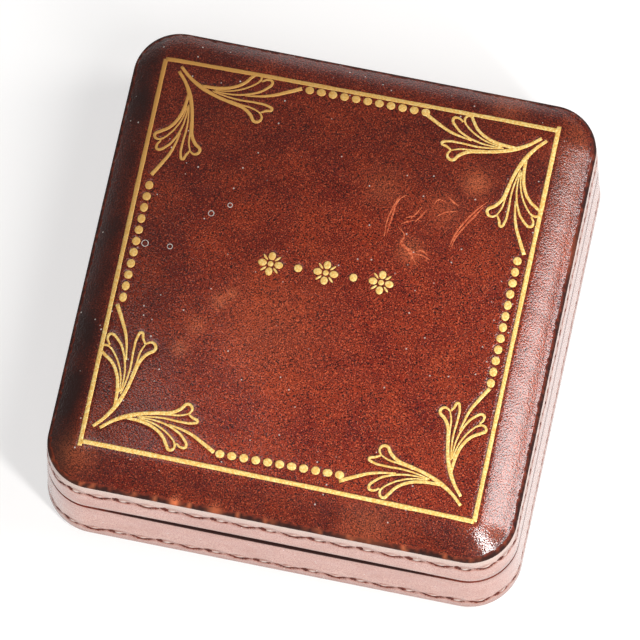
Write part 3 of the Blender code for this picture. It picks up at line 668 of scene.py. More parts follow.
def lid_height(x, y, sizes):
    """Height of the covered lid: bevelled edge, gentle crown, and the small unevenness of handwork."""
    climb = np.clip(ridge_inset(x, y) / sizes.edge_reach, 0, 1)
    edge = sizes.edge_rise * (1 - (1 - climb) ** 2)
    crown_rise = TOP_HIGH.z - RIDGE_HEIGHT - sizes.edge_rise
    crown = crown_rise * (1 - (x / RIDGE_HALF.x) ** 2) * (1 - (y / RIDGE_HALF.y) ** 2)
    wander = np.sin(x / WANDER[0] + 1.1) * np.sin(y / WANDER[1] + 0.4)
    ripple = np.sin(x / RIPPLE[0] + y / RIPPLE[1]) * 0.4
    pucker = np.sin(x / PUCKER[0] + y / PUCKER[1]) * np.sin(y / CROSS_PUCKER[1] - x / CROSS_PUCKER[0])
    strained = climb * (1 - climb) * (pucker - 1)
    return RIDGE_HEIGHT + edge + crown + sizes.unevenness * (climb * (wander + ripple - 0.7) + strained)


def soiling(x, y):
    """How much painted shade the lid gets, away from the lamps: most at its back left corner, and none at its
    front right.
    """
    corner = np.hypot(x + RIDGE_HALF.x, y - RIDGE_HALF.y)
    return fade(corner, 10 * MM, 95 * MM)


def lay_on_lid(piece, sizes, sunk=0):
    """Bring a piece that was drawn flat down onto the lid, sunk a little way into it; returns its points."""
    points = points_of(piece.data)
    points[:, 2] += lid_height(points[:, 0], points[:, 1], sizes) - sunk
    move_points(piece.data, points)
    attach(piece, "lid")
    return points


def strokes_piece(name, strokes, thickness, material):
    """Flat closed strokes through (x, y, width) points in metres, drawn as bevelled curves."""
    curve = bpy.data.curves.new(name, "CURVE")
    curve.dimensions = "3D"
    curve.bevel_depth = 1
    curve.bevel_resolution = 2
    curve.resolution_u = 6
    curve.use_fill_caps = True
    curve.twist_mode = "Z_UP"
    for stroke in strokes:
        spline = curve.splines.new("BEZIER")
        spline.bezier_points.add(len(stroke) - 1)
        for point, (x, y, width) in zip(spline.bezier_points, stroke):
            point.co = (x, y, 0)
            point.radius = width / 2
            point.handle_left_type = "AUTO"
            point.handle_right_type = "AUTO"
    drawn = bpy.data.objects.new(name, curve)
    bpy.context.scene.collection.objects.link(drawn)
    shape = bmesh.new()
    shape.from_mesh(
        bpy.data.meshes.new_from_object(drawn.evaluated_get(bpy.context.evaluated_depsgraph_get()))
    )
    bpy.data.objects.remove(drawn)
    bpy.data.curves.remove(curve)
    bmesh.ops.remove_doubles(shape, verts=shape.verts[:], dist=JOIN)
    widest = max(width for stroke in strokes for _, _, width in stroke) / 2
    for vertex in shape.verts:
        vertex.co.z *= thickness / widest
    return new_piece(name, shape, material)


class JEWELLERY_CASE_OT_gild_lid(Operator):
    """Tool the lid in gold: border, rows of dots, corner sprays and a row of florets"""

    bl_idname = "jewellery_case.gild_lid"
    bl_label = "Gild the lid"

    # A hand-run line: the step between its points, and how much its width varies
    LINE_STEP = 3 * MM
    LINE_SPREAD = (0.9, 1.1)
    # Dots and florets: how much a dot's length varies, and how many times a line's height they stand
    DOT_SPREAD = (0.94, 1.05)
    DOT_LIFT = 1.6
    # Parts of a floret as shares of its reach: how far out they lie, half their length and half their width
    EYE = (0, 0.24, 0.24)
    PETAL = (0.68, 0.36, 0.3)
    POINT = (0.72, 0.3, 0.09)
    # How far the gilding lies in its print, as a share of the print's depth
    SUNK = 0.7

    def execute(self, context):
        sizes = context.scene.case_sizes
        gold = gold_leaf_tooled(context)
        chance = random.Random(context.scene.case_stage.seed)
        self.border(sizes, gold, chance)
        for number, (first, last, count) in enumerate(DOT_ROWS, 1):
            places = [Vector(first).lerp(Vector(last), step / (count - 1)) * MM for step in range(count)]
            row = f"gilt_dot_row_{number}"
            self.dots(row, places, sizes.dot_length, sizes.dot_width, sizes, gold, chance)
        for number, (start, end) in enumerate(SPRAYS, 1):
            self.spray(f"gilt_spray_{number}", start, end, sizes, gold)
        for number, place in enumerate(FLORETS, 1):
            self.floret(f"gilt_floret_{number}", Vector(place) * MM, sizes, gold)
        places = [Vector(place) * MM for place in FLORET_DOTS]
        self.dots("gilt_floret_dots", places, sizes.dot_width, sizes.dot_width, sizes, gold, chance)
        return {"FINISHED"}

    def lay(self, piece, sizes):
        """Lay gilding into its print, with the same painted shade as the skin round it."""
        points = lay_on_lid(piece, sizes, sizes.tool_depth * self.SUNK)
        paint(piece.data, "painted_shade", soiling(points[:, 0], points[:, 1]))

    def border(self, sizes, gold, chance):
        """Four lines that meet, or slightly cross, at the corners."""
        strokes = []
        for index, corner in enumerate(BORDER_CORNERS):
            first = Vector(BORDER_CORNERS[index - 1])
            last = Vector(corner)
            first -= (last - first).normalized() * BORDER_OVERSHOOT[index]
            strokes.append(self.line(first * MM, last * MM, sizes.gilt_line, chance))
        self.lay(strokes_piece("gilt_border", strokes, sizes.leaf_thickness, gold), sizes)

    def line(self, first, last, width, chance):
        """Points of a hand-run line between two places, with a slightly uneven width."""
        count = max(2, round((last - first).length / self.LINE_STEP))
        points = []
        for number in range(count + 1):
            place = first.lerp(last, number / count)
            points.append((place.x, place.y, width * chance.uniform(*self.LINE_SPREAD)))
        return points

    def bead(self, shape, matrix):
        """Add a round bead of gold to a shape."""
        bmesh.ops.create_uvsphere(shape, u_segments=20, v_segments=8, radius=1, matrix=matrix)

    def dots(self, name, places, long, wide, sizes, gold, chance):
        """Round dots in a row, a little longer along it than across."""
        way = places[-1] - places[0]
        turn = Matrix.Rotation(math.atan2(way.y, way.x), 4, "Z")
        lift = sizes.leaf_thickness * self.DOT_LIFT
        shape = bmesh.new()
        for place in places:
            stretch = chance.uniform(*self.DOT_SPREAD)
            spread = Matrix.Diagonal((long / 2 * stretch, wide / 2 / stretch, lift, 1))
            self.bead(shape, Matrix.Translation((place.x, place.y, 0)) @ turn @ spread)
        self.lay(new_piece(name, shape, gold), sizes)

    def spray(self, name, start, end, sizes, gold):
        """One impression of the spray tool, turned and mirrored to run from its corner along the border."""
        tip_along, tip_inwards, _ = SPRAY_STROKES[-1][-1]
        foot = complex(*start)
        way = complex(*end) - foot
        inwards = -foot * way.conjugate()
        side = 1 if inwards.imag > 0 else -1
        turn = way / complex(tip_along, side * tip_inwards)
        strokes = []
        for stroke in SPRAY_STROKES:
            points = []
            for along, inward, width in stroke:
                place = self.keep_inside(foot + turn * complex(along, side * inward))
                points.append((place.real * MM, place.imag * MM, width * MM))
            strokes.append(points)
        self.lay(strokes_piece(name, strokes, sizes.leaf_thickness, gold), sizes)

    def keep_inside(self, place):
        """Bring a place that lies beyond a border line back onto that line."""
        for index, corner in enumerate(BORDER_CORNERS):
            first = complex(*BORDER_CORNERS[index - 1])
            way = complex(*corner) - first
            way /= abs(way)
            beyond = ((place - first) * way.conjugate()).imag
            place -= way * 1j * max(beyond, 0)
        return place

    def floret(self, name, place, sizes, gold):
        """Four round petals about an eye, with a short point between each pair."""
        lift = sizes.leaf_thickness * self.DOT_LIFT
        forms = []
        for away, long, wide in (self.EYE, self.PETAL, self.POINT):
            spread = Matrix.Diagonal((sizes.floret * long, sizes.floret * wide, lift, 1))
            forms.append(Matrix.Translation((sizes.floret * away, 0, 0)) @ spread)
        eye, petal, point = forms
        middle = Matrix.Translation((place.x, place.y, 0))
        shape = bmesh.new()
        self.bead(shape, middle @ eye)
        for quarter in range(4):
            for turned, form in ((quarter, petal), (quarter + 0.5, point)):
                self.bead(shape, middle @ Matrix.Rotation(math.pi / 2 * turned, 4, "Z") @ form)
        self.lay(new_piece(name, shape, gold), sizes)


class JEWELLERY_CASE_OT_cover_lid(Operator):
    """Cover the domed lid in calf, pressed in under the gilt tools and worn in places, with painted shade,
    shadow and sheen
    """

    bl_idname = "jewellery_case.cover_lid"
    bl_label = "Cover the lid"

    # Coarse cells of the cover, how many cuts make them finer near the tools, and how near that is
    CELL = 0.75 * MM
    CUTS = 2
    NEAR = 0.9 * MM
    # A tool's print: how far beside the tool it stays at full depth, and where it ends
    PRINT_FLAT = 0.05 * MM
    PRINT_END = 0.55 * MM
    # Section of the cover's edge in millimetres: how far inside the ridge, and how far below the dome
    LIP = (
        (1.35, 0), (1.15, 0), (0.95, 0), (0.75, 0), (0.5, 0.02), (0.3, 0.08), (0.16, 0.22), (0.12, 0.55),
        (0.16, 0.88), (0.3, 0.98), (0.6, 1.02), (0.9, 1.1),
    )
    LIP_START = 1.6 * MM
    # Bead that the pasted edge has drawn up inside the ridge
    BEAD_HEIGHT = 0.22 * MM
    BEAD_INSET = 0.95 * MM
    BEAD_WIDTH = 0.35 * MM
    # Burnt edge, darkened further by a painted shadow where the top meets the band: how ragged its line is,
    # how far down the lip it starts, and how dark a face of it is
    RAGGED = 0.22 * MM
    LIP_DROP = 0.1 * MM
    SCORCH_LIMIT = 0.45
    # Height of the marks on the skin, width of a drip's ring, and how many steps draw it
    FIBRE_HEIGHT = 0.05 * MM
    DRIP_HEIGHT = 0.03 * MM
    DRIP_LINE = 0.16 * MM
    DRIP_STEPS = 10

    def execute(self, context):
        sizes = context.scene.case_sizes
        gilt = [piece for piece in context.scene.objects if piece.name.startswith("gilt_")]
        if not gilt:
            raise RuntimeError("The lid is gilded before it is covered")
        tools = self.flat_tree(gilt)
        piece = new_piece("lid_top_calf", self.cover(tools), calf_top(context))
        self.shape_cover(piece.data, tools, sizes, calf_burnished_and_shaded(context))
        stand_in(piece, "lid_top_leather", "lid")
        self.scratches(context, sizes)
        self.drips(context, sizes)
        return {"FINISHED"}

    def flat_tree(self, pieces):
        """Search tree of the tools' prints in the plane."""
        corners, faces = [], []
        for piece in pieces:
            first = len(corners)
            corners += [(vertex.co.x, vertex.co.y, 0) for vertex in piece.data.vertices]
            faces += [[first + index for index in face.vertices] for face in piece.data.polygons]
        return BVHTree.FromPolygons(corners, faces)

    def cover(self, tools):
        """Flat net of the cover: a grid rounded at its corners and finer near the tools, with the lip."""
        half = RIDGE_HALF - Vector((self.LIP_START, self.LIP_START))
        radius = RIDGE_RADIUS - self.LIP_START
        shape = bmesh.new()
        count_x, count_y = (round(2 * side / self.CELL) for side in half)
        bmesh.ops.create_grid(shape, x_segments=count_x, y_segments=count_y, size=1)
        core = half - Vector((radius, radius))
        for vertex in shape.verts:
            x, y = abs(vertex.co.x) * half.x, abs(vertex.co.y) * half.y
            over_x, over_y = max(x - core.x, 0) / radius, max(y - core.y, 0) / radius
            x = min(x, core.x) + radius * over_x * math.sqrt(1 - over_y**2 / 2)
            y = min(y, core.y) + radius * over_y * math.sqrt(1 - over_x**2 / 2)
            vertex.co = (math.copysign(x, vertex.co.x), math.copysign(y, vertex.co.y), 0)
        near = []
        for edge in shape.edges:
            middle = (edge.verts[0].co + edge.verts[1].co) / 2
            if tools.find_nearest(middle, self.NEAR)[0] is not None:
                near.append(edge)
        bmesh.ops.subdivide_edges(shape, edges=near, cuts=self.CUTS, use_grid_fill=True)
        rim = [edge for edge in shape.edges if edge.is_boundary]
        start = self.LIP_START
        for inset, drop in self.LIP:
            made = bmesh.ops.extrude_edge_only(shape, edges=rim)["geom"]
            rim = [item for item in made if isinstance(item, bmesh.types.BMEdge) and item.is_boundary]
            for vertex in {vertex for edge in rim for vertex in edge.verts}:
                flat = Vector((vertex.co.x, vertex.co.y))
                flat += self.outward(flat) * (start - inset * MM)
                vertex.co = (flat.x, flat.y, -drop * MM)
            start = inset * MM
        bmesh.ops.contextual_create(shape, geom=rim)
        return shape

    def outward(self, place):
        """Direction from a place near the ridge straight out of the lid."""
        core = RIDGE_HALF - Vector((RIDGE_RADIUS, RIDGE_RADIUS))
        over = Vector((max(abs(place.x) - core.x, 0), max(abs(place.y) - core.y, 0))).normalized()
        return Vector((math.copysign(over.x, place.x), math.copysign(over.y, place.y)))

    def shape_cover(self, mesh, tools, sizes, burnished_and_shaded):
        """Raise the net to the dome, sink the tools' prints, roughen the lip, and darken the lip and the
        prints: burns, with a painted shadow along the ridge.
        """
        points = points_of(mesh)
        x, y, drop = points.T.copy()
        gap = np.full(len(points), 1.0)
        for index, place in enumerate(zip(x, y)):
            found = tools.find_nearest((*place, 0), self.NEAR)[3]
            if found is not None:
                gap[index] = found
        pressed = fade(gap, self.PRINT_FLAT, self.PRINT_END)
        inset = ridge_inset(x, y)
        turn = np.arctan2(y, x)
        rough = np.sin(60 * turn) * np.sin(96 * turn + 1) + 0.6 * np.sin(237 * turn)
        bead = np.exp(-(((inset - self.BEAD_INSET) / self.BEAD_WIDTH) ** 2)) * (1 + 0.35 * rough)
        bead *= 0.1 + 0.9 * fade(RIDGE_HALF.x - x, 3 * MM, 9 * MM)
        points[:, 2] = lid_height(x, y, sizes) + drop - sizes.tool_depth * pressed
        points[:, 2] += self.BEAD_HEIGHT * bead
        move_points(mesh, points)
        edge = inset + self.RAGGED * rough
        scorched = fade(edge, 0.7 * MM, 1.2 * MM)
        scorched[drop < -self.LIP_DROP] = 1
        mark_faces(mesh, scorched, self.SCORCH_LIMIT, burnished_and_shaded)
        # The edge is burnt, and darker still by a painted shadow of its join with the band
        burnt_and_shade = np.maximum(fade(edge, 0.45 * MM, 0.95 * MM), 0.5 * fade(edge, 0.6 * MM, 1.6 * MM))
        paint(mesh, "scorch_and_painted_shade", np.maximum(burnt_and_shade, 0.35 * pressed))
        self.age_cover(mesh, x, y, inset, turn, rough)

    def age_cover(self, mesh, x, y, inset, turn, rough):
        """Paint the shade laid over the lid away from the lamps, and where hands have rubbed it."""
        from_left, from_right = RIDGE_HALF.x + x, RIDGE_HALF.x - x
        from_front, from_back = RIDGE_HALF.y + y, RIDGE_HALF.y - y
        # The painted shade of each side, deepest at the left away from the lamps: its strength, and in
        # millimetres where it starts to fade and where it ends
        shade_by_side = (
            (from_left, 1.0, 4, 11), (from_back, 0.5, 4, 11), (from_front, 0.5, 4, 11),
            (from_right, 0.15, 4, 11), (from_back, 0.5, 12, 54), (from_left, 0.62, 8, 40),
        )
        painted_shade = 0.68 * soiling(x, y)
        for away, strength, near, far in shade_by_side:
            painted_shade = np.maximum(painted_shade, strength * fade(away, near * MM, far * MM))
        paint(mesh, "painted_shade", painted_shade)
        # Bared colour along the right margin under the key light's highlight: a painted highlight that warms
        # it
        wear_and_sheen = 0.2 * fade(from_right, 3 * MM, 10 * MM) * (1 - fade(inset, 1.2 * MM, 2.6 * MM))
        for spot_x, spot_y, reach, strength in RUBBED_AND_SHEEN:
            away = np.hypot(x - spot_x * MM, y - spot_y * MM)
            wear_and_sheen = np.maximum(wear_and_sheen, strength * np.exp(-((away / (reach * MM)) ** 2)))
        spots = np.clip(1.5 * np.sin(53 * turn + 2) * np.sin(131 * turn) * np.sin(19 * turn) - 0.3, 0, 1)
        spots *= fade(from_front, 3 * MM, 9 * MM)
        chipped = np.maximum(0.5 * spots, 0.06 * np.clip(rough, 0, 1))
        paint(mesh, "wear_and_sheen", np.maximum(wear_and_sheen, fade(inset, 0.5 * MM, 1.6 * MM) * chipped))

    def scratches(self, context, sizes):
        """Torn fibres that stand just proud of the skin, uneven in width and thin at their ends."""
        chance = random.Random(context.scene.case_stage.seed)
        strokes = []
        for line in SCRATCHES:
            widths = [sizes.scratch * chance.uniform(0.6, 1.1) for _ in line]
            widths[0] *= 0.3
            widths[-1] *= 0.3
            strokes.append([(x * MM, y * MM, width) for (x, y), width in zip(line, widths)])
        piece = strokes_piece("lid_scratches", strokes, self.FIBRE_HEIGHT, calf_torn_fibres(context))
        lay_on_lid(piece, sizes)

    def drips(self, context, sizes):
        """Dried rings of a few drips."""
        dried = pulp("dried_drips", context.scene.case_colours.dust_and_highlight_colour, 0.5 * MM, 0.7)
        turns = [2 * math.pi * step / self.DRIP_STEPS for step in range(self.DRIP_STEPS + 1)]
        strokes = []
        for x, y, ring in DRIPS:
            places = [(x + ring * math.cos(turn), y + ring * math.sin(turn)) for turn in turns]
            strokes.append([(along * MM, across * MM, self.DRIP_LINE) for along, across in places])
        piece = strokes_piece("lid_drips", strokes, self.DRIP_HEIGHT, dried)
        lay_on_lid(piece, sizes)


class JEWELLERY_CASE_OT_cover_sides(Operator):
    """Cover the sides of the lid and of the base with calf bands that carry the blind roll"""

    bl_idname = "jewellery_case.cover_sides"
    bl_label = "Cover the sides"

    # Net of a band: its columns, its rows across the roll and elsewhere, and the room beside the roll
    COLUMN = 0.3 * MM
    ROLL_ROW = 0.24 * MM
    PLAIN_ROW = 1.6 * MM
    ROLL_MARGIN = 0.6 * MM
    # Top of the lid's band: how it is rounded, how far it is drawn in below the ridge, and how strong its
    # painted highlight is
    SHOULDER = 0.35 * MM
    SWELL = 0.5 * MM
    SWELL_REACH = 3.6 * MM
    BLOOM = 0.9
    # Bow of the rims in front: half its length, and how far up or down the wall it is felt
    BOW_HALF = 44 * MM
    BOW_REACH = 3 * MM
    # Dark rims, scorched and with painted shadow of the parting: how far up or down the wall, how far in on
    # the turn-in, and how dark a scorched face is
    DARK_RIM = 0.4 * MM
    DARK_LIP = 2 * MM
    SCORCH_LIMIT = 0.6
    # Painted shadow along the parting rims: where it gets darker at the right, over what run, and how far up
    # or down the wall
    GAP_SHADE_START = 44 * MM
    GAP_SHADE_RUN = 6 * MM
    GAP_SHADE_REACH = 2.6 * MM
    # Rubbing along the bottom edge: lengths of its waves along the band, and up it
    RUB_WAVES = (7.3 * MM, 3.1 * MM)
    RUB_RISE = 2 * MM

    def execute(self, context):
        sizes = context.scene.case_sizes
        low, high = LID_BAND_LOW.z, LID_BAND_HIGH.z
        lid = self.band(
            context, "lid_side_calf", low, high, RIDGE_HEIGHT - sizes.lid_roll_drop, sizes.lid_roll_start,
            sizes.lid_bow,
            before=[(LID_RIM_TURN_IN, low), (self.lean(low) + self.DARK_LIP, low)],
            low_arc=self.arc(low, RIM_ROUND, upwards=True),
            high_arc=self.arc(high, self.SHOULDER, upwards=False),
            after=[
                (self.lean(high) + self.SWELL + SIDE_LEATHER, high),
                (self.lean(low) + SIDE_LEATHER, low + SIDE_LEATHER),
                (LID_RIM_TURN_IN, low + SIDE_LEATHER),
            ],
        )
        low, high = BASE_BAND_LOW.z, BASE_BAND_HIGH.z
        base = self.band(
            context, "base_side_calf", low, high, sizes.base_roll_rise, 0, -sizes.base_bow,
            before=[(BOTTOM_TURN_IN, low)],
            low_arc=self.arc(low, BOTTOM_ROUND, upwards=True),
            high_arc=self.arc(high, RIM_ROUND, upwards=False),
            after=[
                (self.lean(high) + self.DARK_LIP, high),
                (BASE_RIM_TURN_IN, high),
                (BASE_RIM_TURN_IN, high - SIDE_LEATHER),
                (self.lean(high) + SIDE_LEATHER, high - SIDE_LEATHER),
                (self.lean(low) + SIDE_LEATHER, low + SIDE_LEATHER),
                (BOTTOM_TURN_IN, low + SIDE_LEATHER),
            ],
        )
        for piece, body, node in ((lid, "lid", "lid_side_leather"), (base, "base", "base_side_leather")):
            self.make_room(piece, body)
            stand_in(piece, node, body)
        return {"FINISHED"}

    def lean(self, height):
        """How far the wall has come in at this height."""
        return WALL_LEAN * height / RIDGE_HEIGHT

    def arc(self, edge, radius, upwards, steps=5):
        """Rounded edge between a turn-in at this height and the wall, in the order of the section."""
        points = []
        for step in range(steps + 1):
            turned = math.pi / 2 * step / steps
            rise = radius * (1 - math.cos(turned)) if upwards else -radius * (1 - math.sin(turned))
            inset = radius * (1 - math.sin(turned)) if upwards else radius * (1 - math.cos(turned))
            points.append((self.lean(edge) + inset, edge + rise))
        return points

    def wall_rows(self, low, high, roll, reach):
        """Heights of the wall's rows: close together across the roll, and far apart elsewhere."""
        bounds = (low, max(roll - reach, low), min(roll + reach, high), high)
        rows = []
        for first, last, step in zip(bounds, bounds[1:], (self.PLAIN_ROW, self.ROLL_ROW, self.PLAIN_ROW)):
            count = max(1, math.ceil((last - first) / step))
            rows += [first + (last - first) * number / count for number in range(count)]
        return rows[1:]

    def plan(self):
        """Places round the bottom edge at equal steps from the right, with the way out and the way gone."""
        core = FOOT_HALF - Vector((FOOT_RADIUS, FOOT_RADIUS))
        bend = FOOT_RADIUS * math.pi / 2
        runs = (2 * core.y, bend, 2 * core.x, bend) * 2
        whole = sum(runs)
        count = round(whole / self.COLUMN)
        ends = np.cumsum(runs)
        corners = [Vector((core.x * x, core.y * y)) for x, y in ((1, 1), (-1, 1), (-1, -1), (1, -1))]
        columns = []
        for number in range(count):
            gone = whole * number / count
            run = int(np.searchsorted(ends, gone, side="right"))
            rest = gone - (ends[run - 1] if run else 0)
            quarter = run // 2
            turned = math.pi / 2 * quarter + (rest / FOOT_RADIUS if run % 2 else 0)
            out = Vector((math.cos(turned), math.sin(turned)))
            centre = corners[quarter]
            if run % 2 == 0:
                centre = corners[quarter - 1].lerp(corners[quarter], rest / runs[run])
            columns.append((centre + out * FOOT_RADIUS, out, gone))
        return columns, whole

    def band(self, context, name, low, high, roll, start, bow, before, low_arc, high_arc, after):
        """Closed band: turn-in, rounded edge, wall with the roll, and the back of the leather."""
        sizes = context.scene.case_sizes
        reach = sizes.roll_wave + sizes.roll_leaf_height / 2 + self.ROLL_MARGIN
        rows = self.wall_rows(low_arc[-1][1], high_arc[0][1], roll, reach)
        skin = low_arc + [(self.lean(height), height) for height in rows] + high_arc
        section = before + skin + after
        columns, whole = self.plan()
        shape = bmesh.new()
        rings = []
        for inset, height in section:
            rings.append([shape.verts.new((*(place - out * inset), height)) for place, out, _ in columns])
        bridge(shape, rings + rings[:1])
        piece = new_piece(name, shape, calf_side_painted_glare(context))

        # Press the roll in, draw the lid's band in below the ridge, and bow the rims in front
        count = len(columns)
        skin_end = (len(before) + len(skin)) * count
        points = points_of(piece.data)
        way = np.tile([gone for _, _, gone in columns], len(section))
        out = np.tile([(*direction, 0) for _, direction, _ in columns], (len(section), 1))
        depth = np.repeat([inset - self.lean(height) for inset, height in section], count)
        hidden = np.ones(len(points), bool)
        hidden[len(before) * count : skin_end] = False
        period = whole / round(whole / sizes.roll_period)
        marks = self.roll((way - start) % whole, points[:, 2] - roll, period, sizes)
        pressed, dark, pale = (np.where(hidden, 0, mark) for mark in marks)
        is_lid = bow > 0
        drop = sizes.roll_depth * pressed
        if is_lid:
            climb = np.clip((points[:, 2] - high + self.SWELL_REACH) / self.SWELL_REACH, 0, 1)
            drop += np.where(hidden, 0, self.SWELL * climb**2)
            # Painted highlight, paler towards the top of the lid's band under the ridge
            pale = np.maximum(pale, self.BLOOM * climb * ~hidden)
        points -= out * drop[:, None]
        flat = points[:, 2].copy()
        from_rim = np.abs(flat - (low if is_lid else high))
        middle = np.clip(1 - (points[:, 0] / self.BOW_HALF) ** 2, 0, 1) * (points[:, 1] < 0)
        bowed = from_rim < self.BOW_REACH
        bowed[skin_end + (0 if is_lid else 2 * count) :] = False
        points[:, 2] += bow * middle * fade(from_rim, 0, self.BOW_REACH) * bowed
        move_points(piece.data, points)

        # Scorch the roll and the rims, lay painted shade and painted shadow beside them, give the turn-ins
        # the top's calf without the bands' painted glare, and rub the base's bottom edge
        # Rims by the parting: scorched, and with painted shadow of the gap, strongest in the middle of the
        # front
        on_rim = from_rim < self.DARK_RIM
        lip = on_rim & (depth < 1.1 * self.DARK_LIP)
        turned_in = on_rim & (depth > 0.9 * self.DARK_LIP)
        mark_faces(piece.data, np.maximum(dark, lip), self.SCORCH_LIMIT, calf_burnished_and_shaded(context))
        mark_faces(piece.data, turned_in, self.SCORCH_LIMIT, calf_top(context))
        wear_and_sheen = np.zeros(len(points))
        if not is_lid:
            # Painted shade, darker towards the bottom of the base
            dark = np.maximum(dark, 0.46 * fade(flat - low, 1.5 * MM, 6 * MM))
            long, short = (way / wave for wave in self.RUB_WAVES)
            rubbing = 0.5 + 0.5 * np.sin(long) * np.sin(short + flat / self.RUB_RISE)
            wear_and_sheen = 0.35 * fade(np.abs(flat - low), 0, 0.9 * MM) * rubbing
        # Painted shadow along the parting rims, stronger at the right
        at_right = np.clip((points[:, 0] - self.GAP_SHADE_START) / self.GAP_SHADE_RUN, 0, 1)
        painted_shading = fade(from_rim, 0.5 * MM, self.GAP_SHADE_REACH) * (0.2 + 0.5 * at_right)
        dark = np.maximum(dark, np.where(hidden, 0, painted_shading))
        # Scorching with painted shade and painted shadow, and the darker rims by the parting
        paint(piece.data, "scorch_and_painted_shade", np.maximum(0.65 * dark, lip * np.clip(2 * middle, 0.2, 1)))
        paint(piece.data, "pale", 0.8 * pale)
        paint(piece.data, "wear_and_sheen", wear_and_sheen)
        return piece

    def roll(self, way, rise, period, sizes):
        """How far the blind roll is pressed, how dark it is made and how pale, each from 0 to 1: a wave line
        with an almond
            leaf in each bend. The dark is scorching, with painted shade in the troughs and on one side of
            each leaf, and the pale is a painted glint in each leaf."""
        turn = 2 * math.pi * way / period
        wave = sizes.roll_wave * np.sin(turn)
        slope = sizes.roll_wave * 2 * math.pi / period * np.cos(turn)
        off_line = np.abs(rise - wave) / np.sqrt(1 + slope**2)
        line = fade(off_line, sizes.roll_line * 0.35, sizes.roll_line)
        half = period / 2
        bend = np.floor(way / half)
        hanging = bend % 2 == 0
        along = (way - (bend + 0.5) * half) / (sizes.roll_leaf / 2)
        across = rise / (sizes.roll_leaf_height / 2)
        spread = np.hypot(along, across)
        rim = fade(np.abs(spread - 1) * sizes.roll_leaf_height / 2, sizes.roll_line * 0.3, sizes.roll_line)
        # Painted shade on the leaves' rims: along the bottom and left of a hanging leaf, faintly along the
        # top of a standing one
        low_rim = rim * np.clip(0.75 - 0.55 * across - 0.35 * along, 0, 1)
        high_rim = rim * np.clip(0.1 + 0.4 * across - 0.2 * along, 0, 0.55)
        halo = 0.55 * fade(off_line, 0, 2.2 * sizes.roll_line)
        # The line is scorched, and darker in the troughs by painted shade
        dark = np.maximum(np.where(hanging, low_rim, high_rim), line * (0.65 - 0.35 * np.sin(turn)))
        dark = np.maximum(dark, np.maximum(halo, 0.58 * fade(spread, 0.8, 1.3) * hanging))
        # Painted highlight: a glint a little right of each leaf's middle, which lightens the dark there
        pale = fade(np.hypot((along - 0.2) / 0.6, across / 0.6), 0.4, 1.0) * np.where(hanging, 1, 0.7)
        dark *= 1 - 0.8 * pale
        dome = np.clip(1 - spread**2, 0, 1)
        return np.maximum(line, rim) * (1 - dome), dark, pale

    def make_room(self, piece, body):
        """Cut a band where the hinges lie, and bevel it at the back so that the lid can open."""
        far = 2 * FOOT_HALF.x
        behind = AXIS.y + 4 * (FOOT_HALF.y - AXIS.y)
        rise = (behind - AXIS.y) * math.tan(STOP_HALF_ANGLE)
        section = ((AXIS.y, AXIS.z), (behind, AXIS.z - rise), (behind, AXIS.z + rise))
        wedge = bmesh.new()
        ends = [[wedge.verts.new((x, y, z)) for y, z in section] for x in (-far, far)]
        wedge.faces.new(ends[0])
        wedge.faces.new(ends[1])
        bridge(wedge, ends)
        cutters = [wedge]
        for hinge in HINGES:
            leaf_low, leaf_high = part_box(f"{hinge}_{body}_leaf")
            middle = (leaf_low.x + leaf_high.x) / 2
            wide = leaf_high.x - leaf_low.x
            barrel = bmesh.new()
            turn = Matrix.Translation((middle, AXIS.y, AXIS.z)) @ Matrix.Rotation(math.pi / 2, 4, "Y")
            bmesh.ops.create_cone(
                barrel, cap_ends=True, segments=32, radius1=BARREL_ROOM, radius2=BARREL_ROOM,
                depth=wide + 6 * LEAF_ROOM, matrix=turn,
            )
            cutters.append(barrel)
            window = bmesh.new()
            thick = SIDE_LEATHER + LEAF_ROOM
            low = AXIS.z - LEAF_ROOM - thick if body == "base" else AXIS.z
            room = Vector((wide + 2 * LEAF_ROOM, AXIS.y - leaf_low.y + LEAF_ROOM, LEAF_ROOM + thick))
            centre = Vector((middle, (AXIS.y + leaf_low.y - LEAF_ROOM) / 2, low + room.z / 2))
            place = Matrix.Translation(centre) @ Matrix.Diagonal((*room, 1))
            bmesh.ops.create_cube(window, size=1, matrix=place)
            cutters.append(window)
        cut_out(piece, cutters)


class JEWELLERY_CASE_OT_line_inside(Operator):
    """Line the base with velvet and the lid with satin"""

    bl_idname = "jewellery_case.line_inside"
    bl_label = "Line the inside"

    def execute(self, context):
        dress(cotton_velvet(context), "base_wall_lining", "floor_velvet", "divider")
        dress(silk_satin(context), "lid_wall_lining")
        return {"FINISHED"}


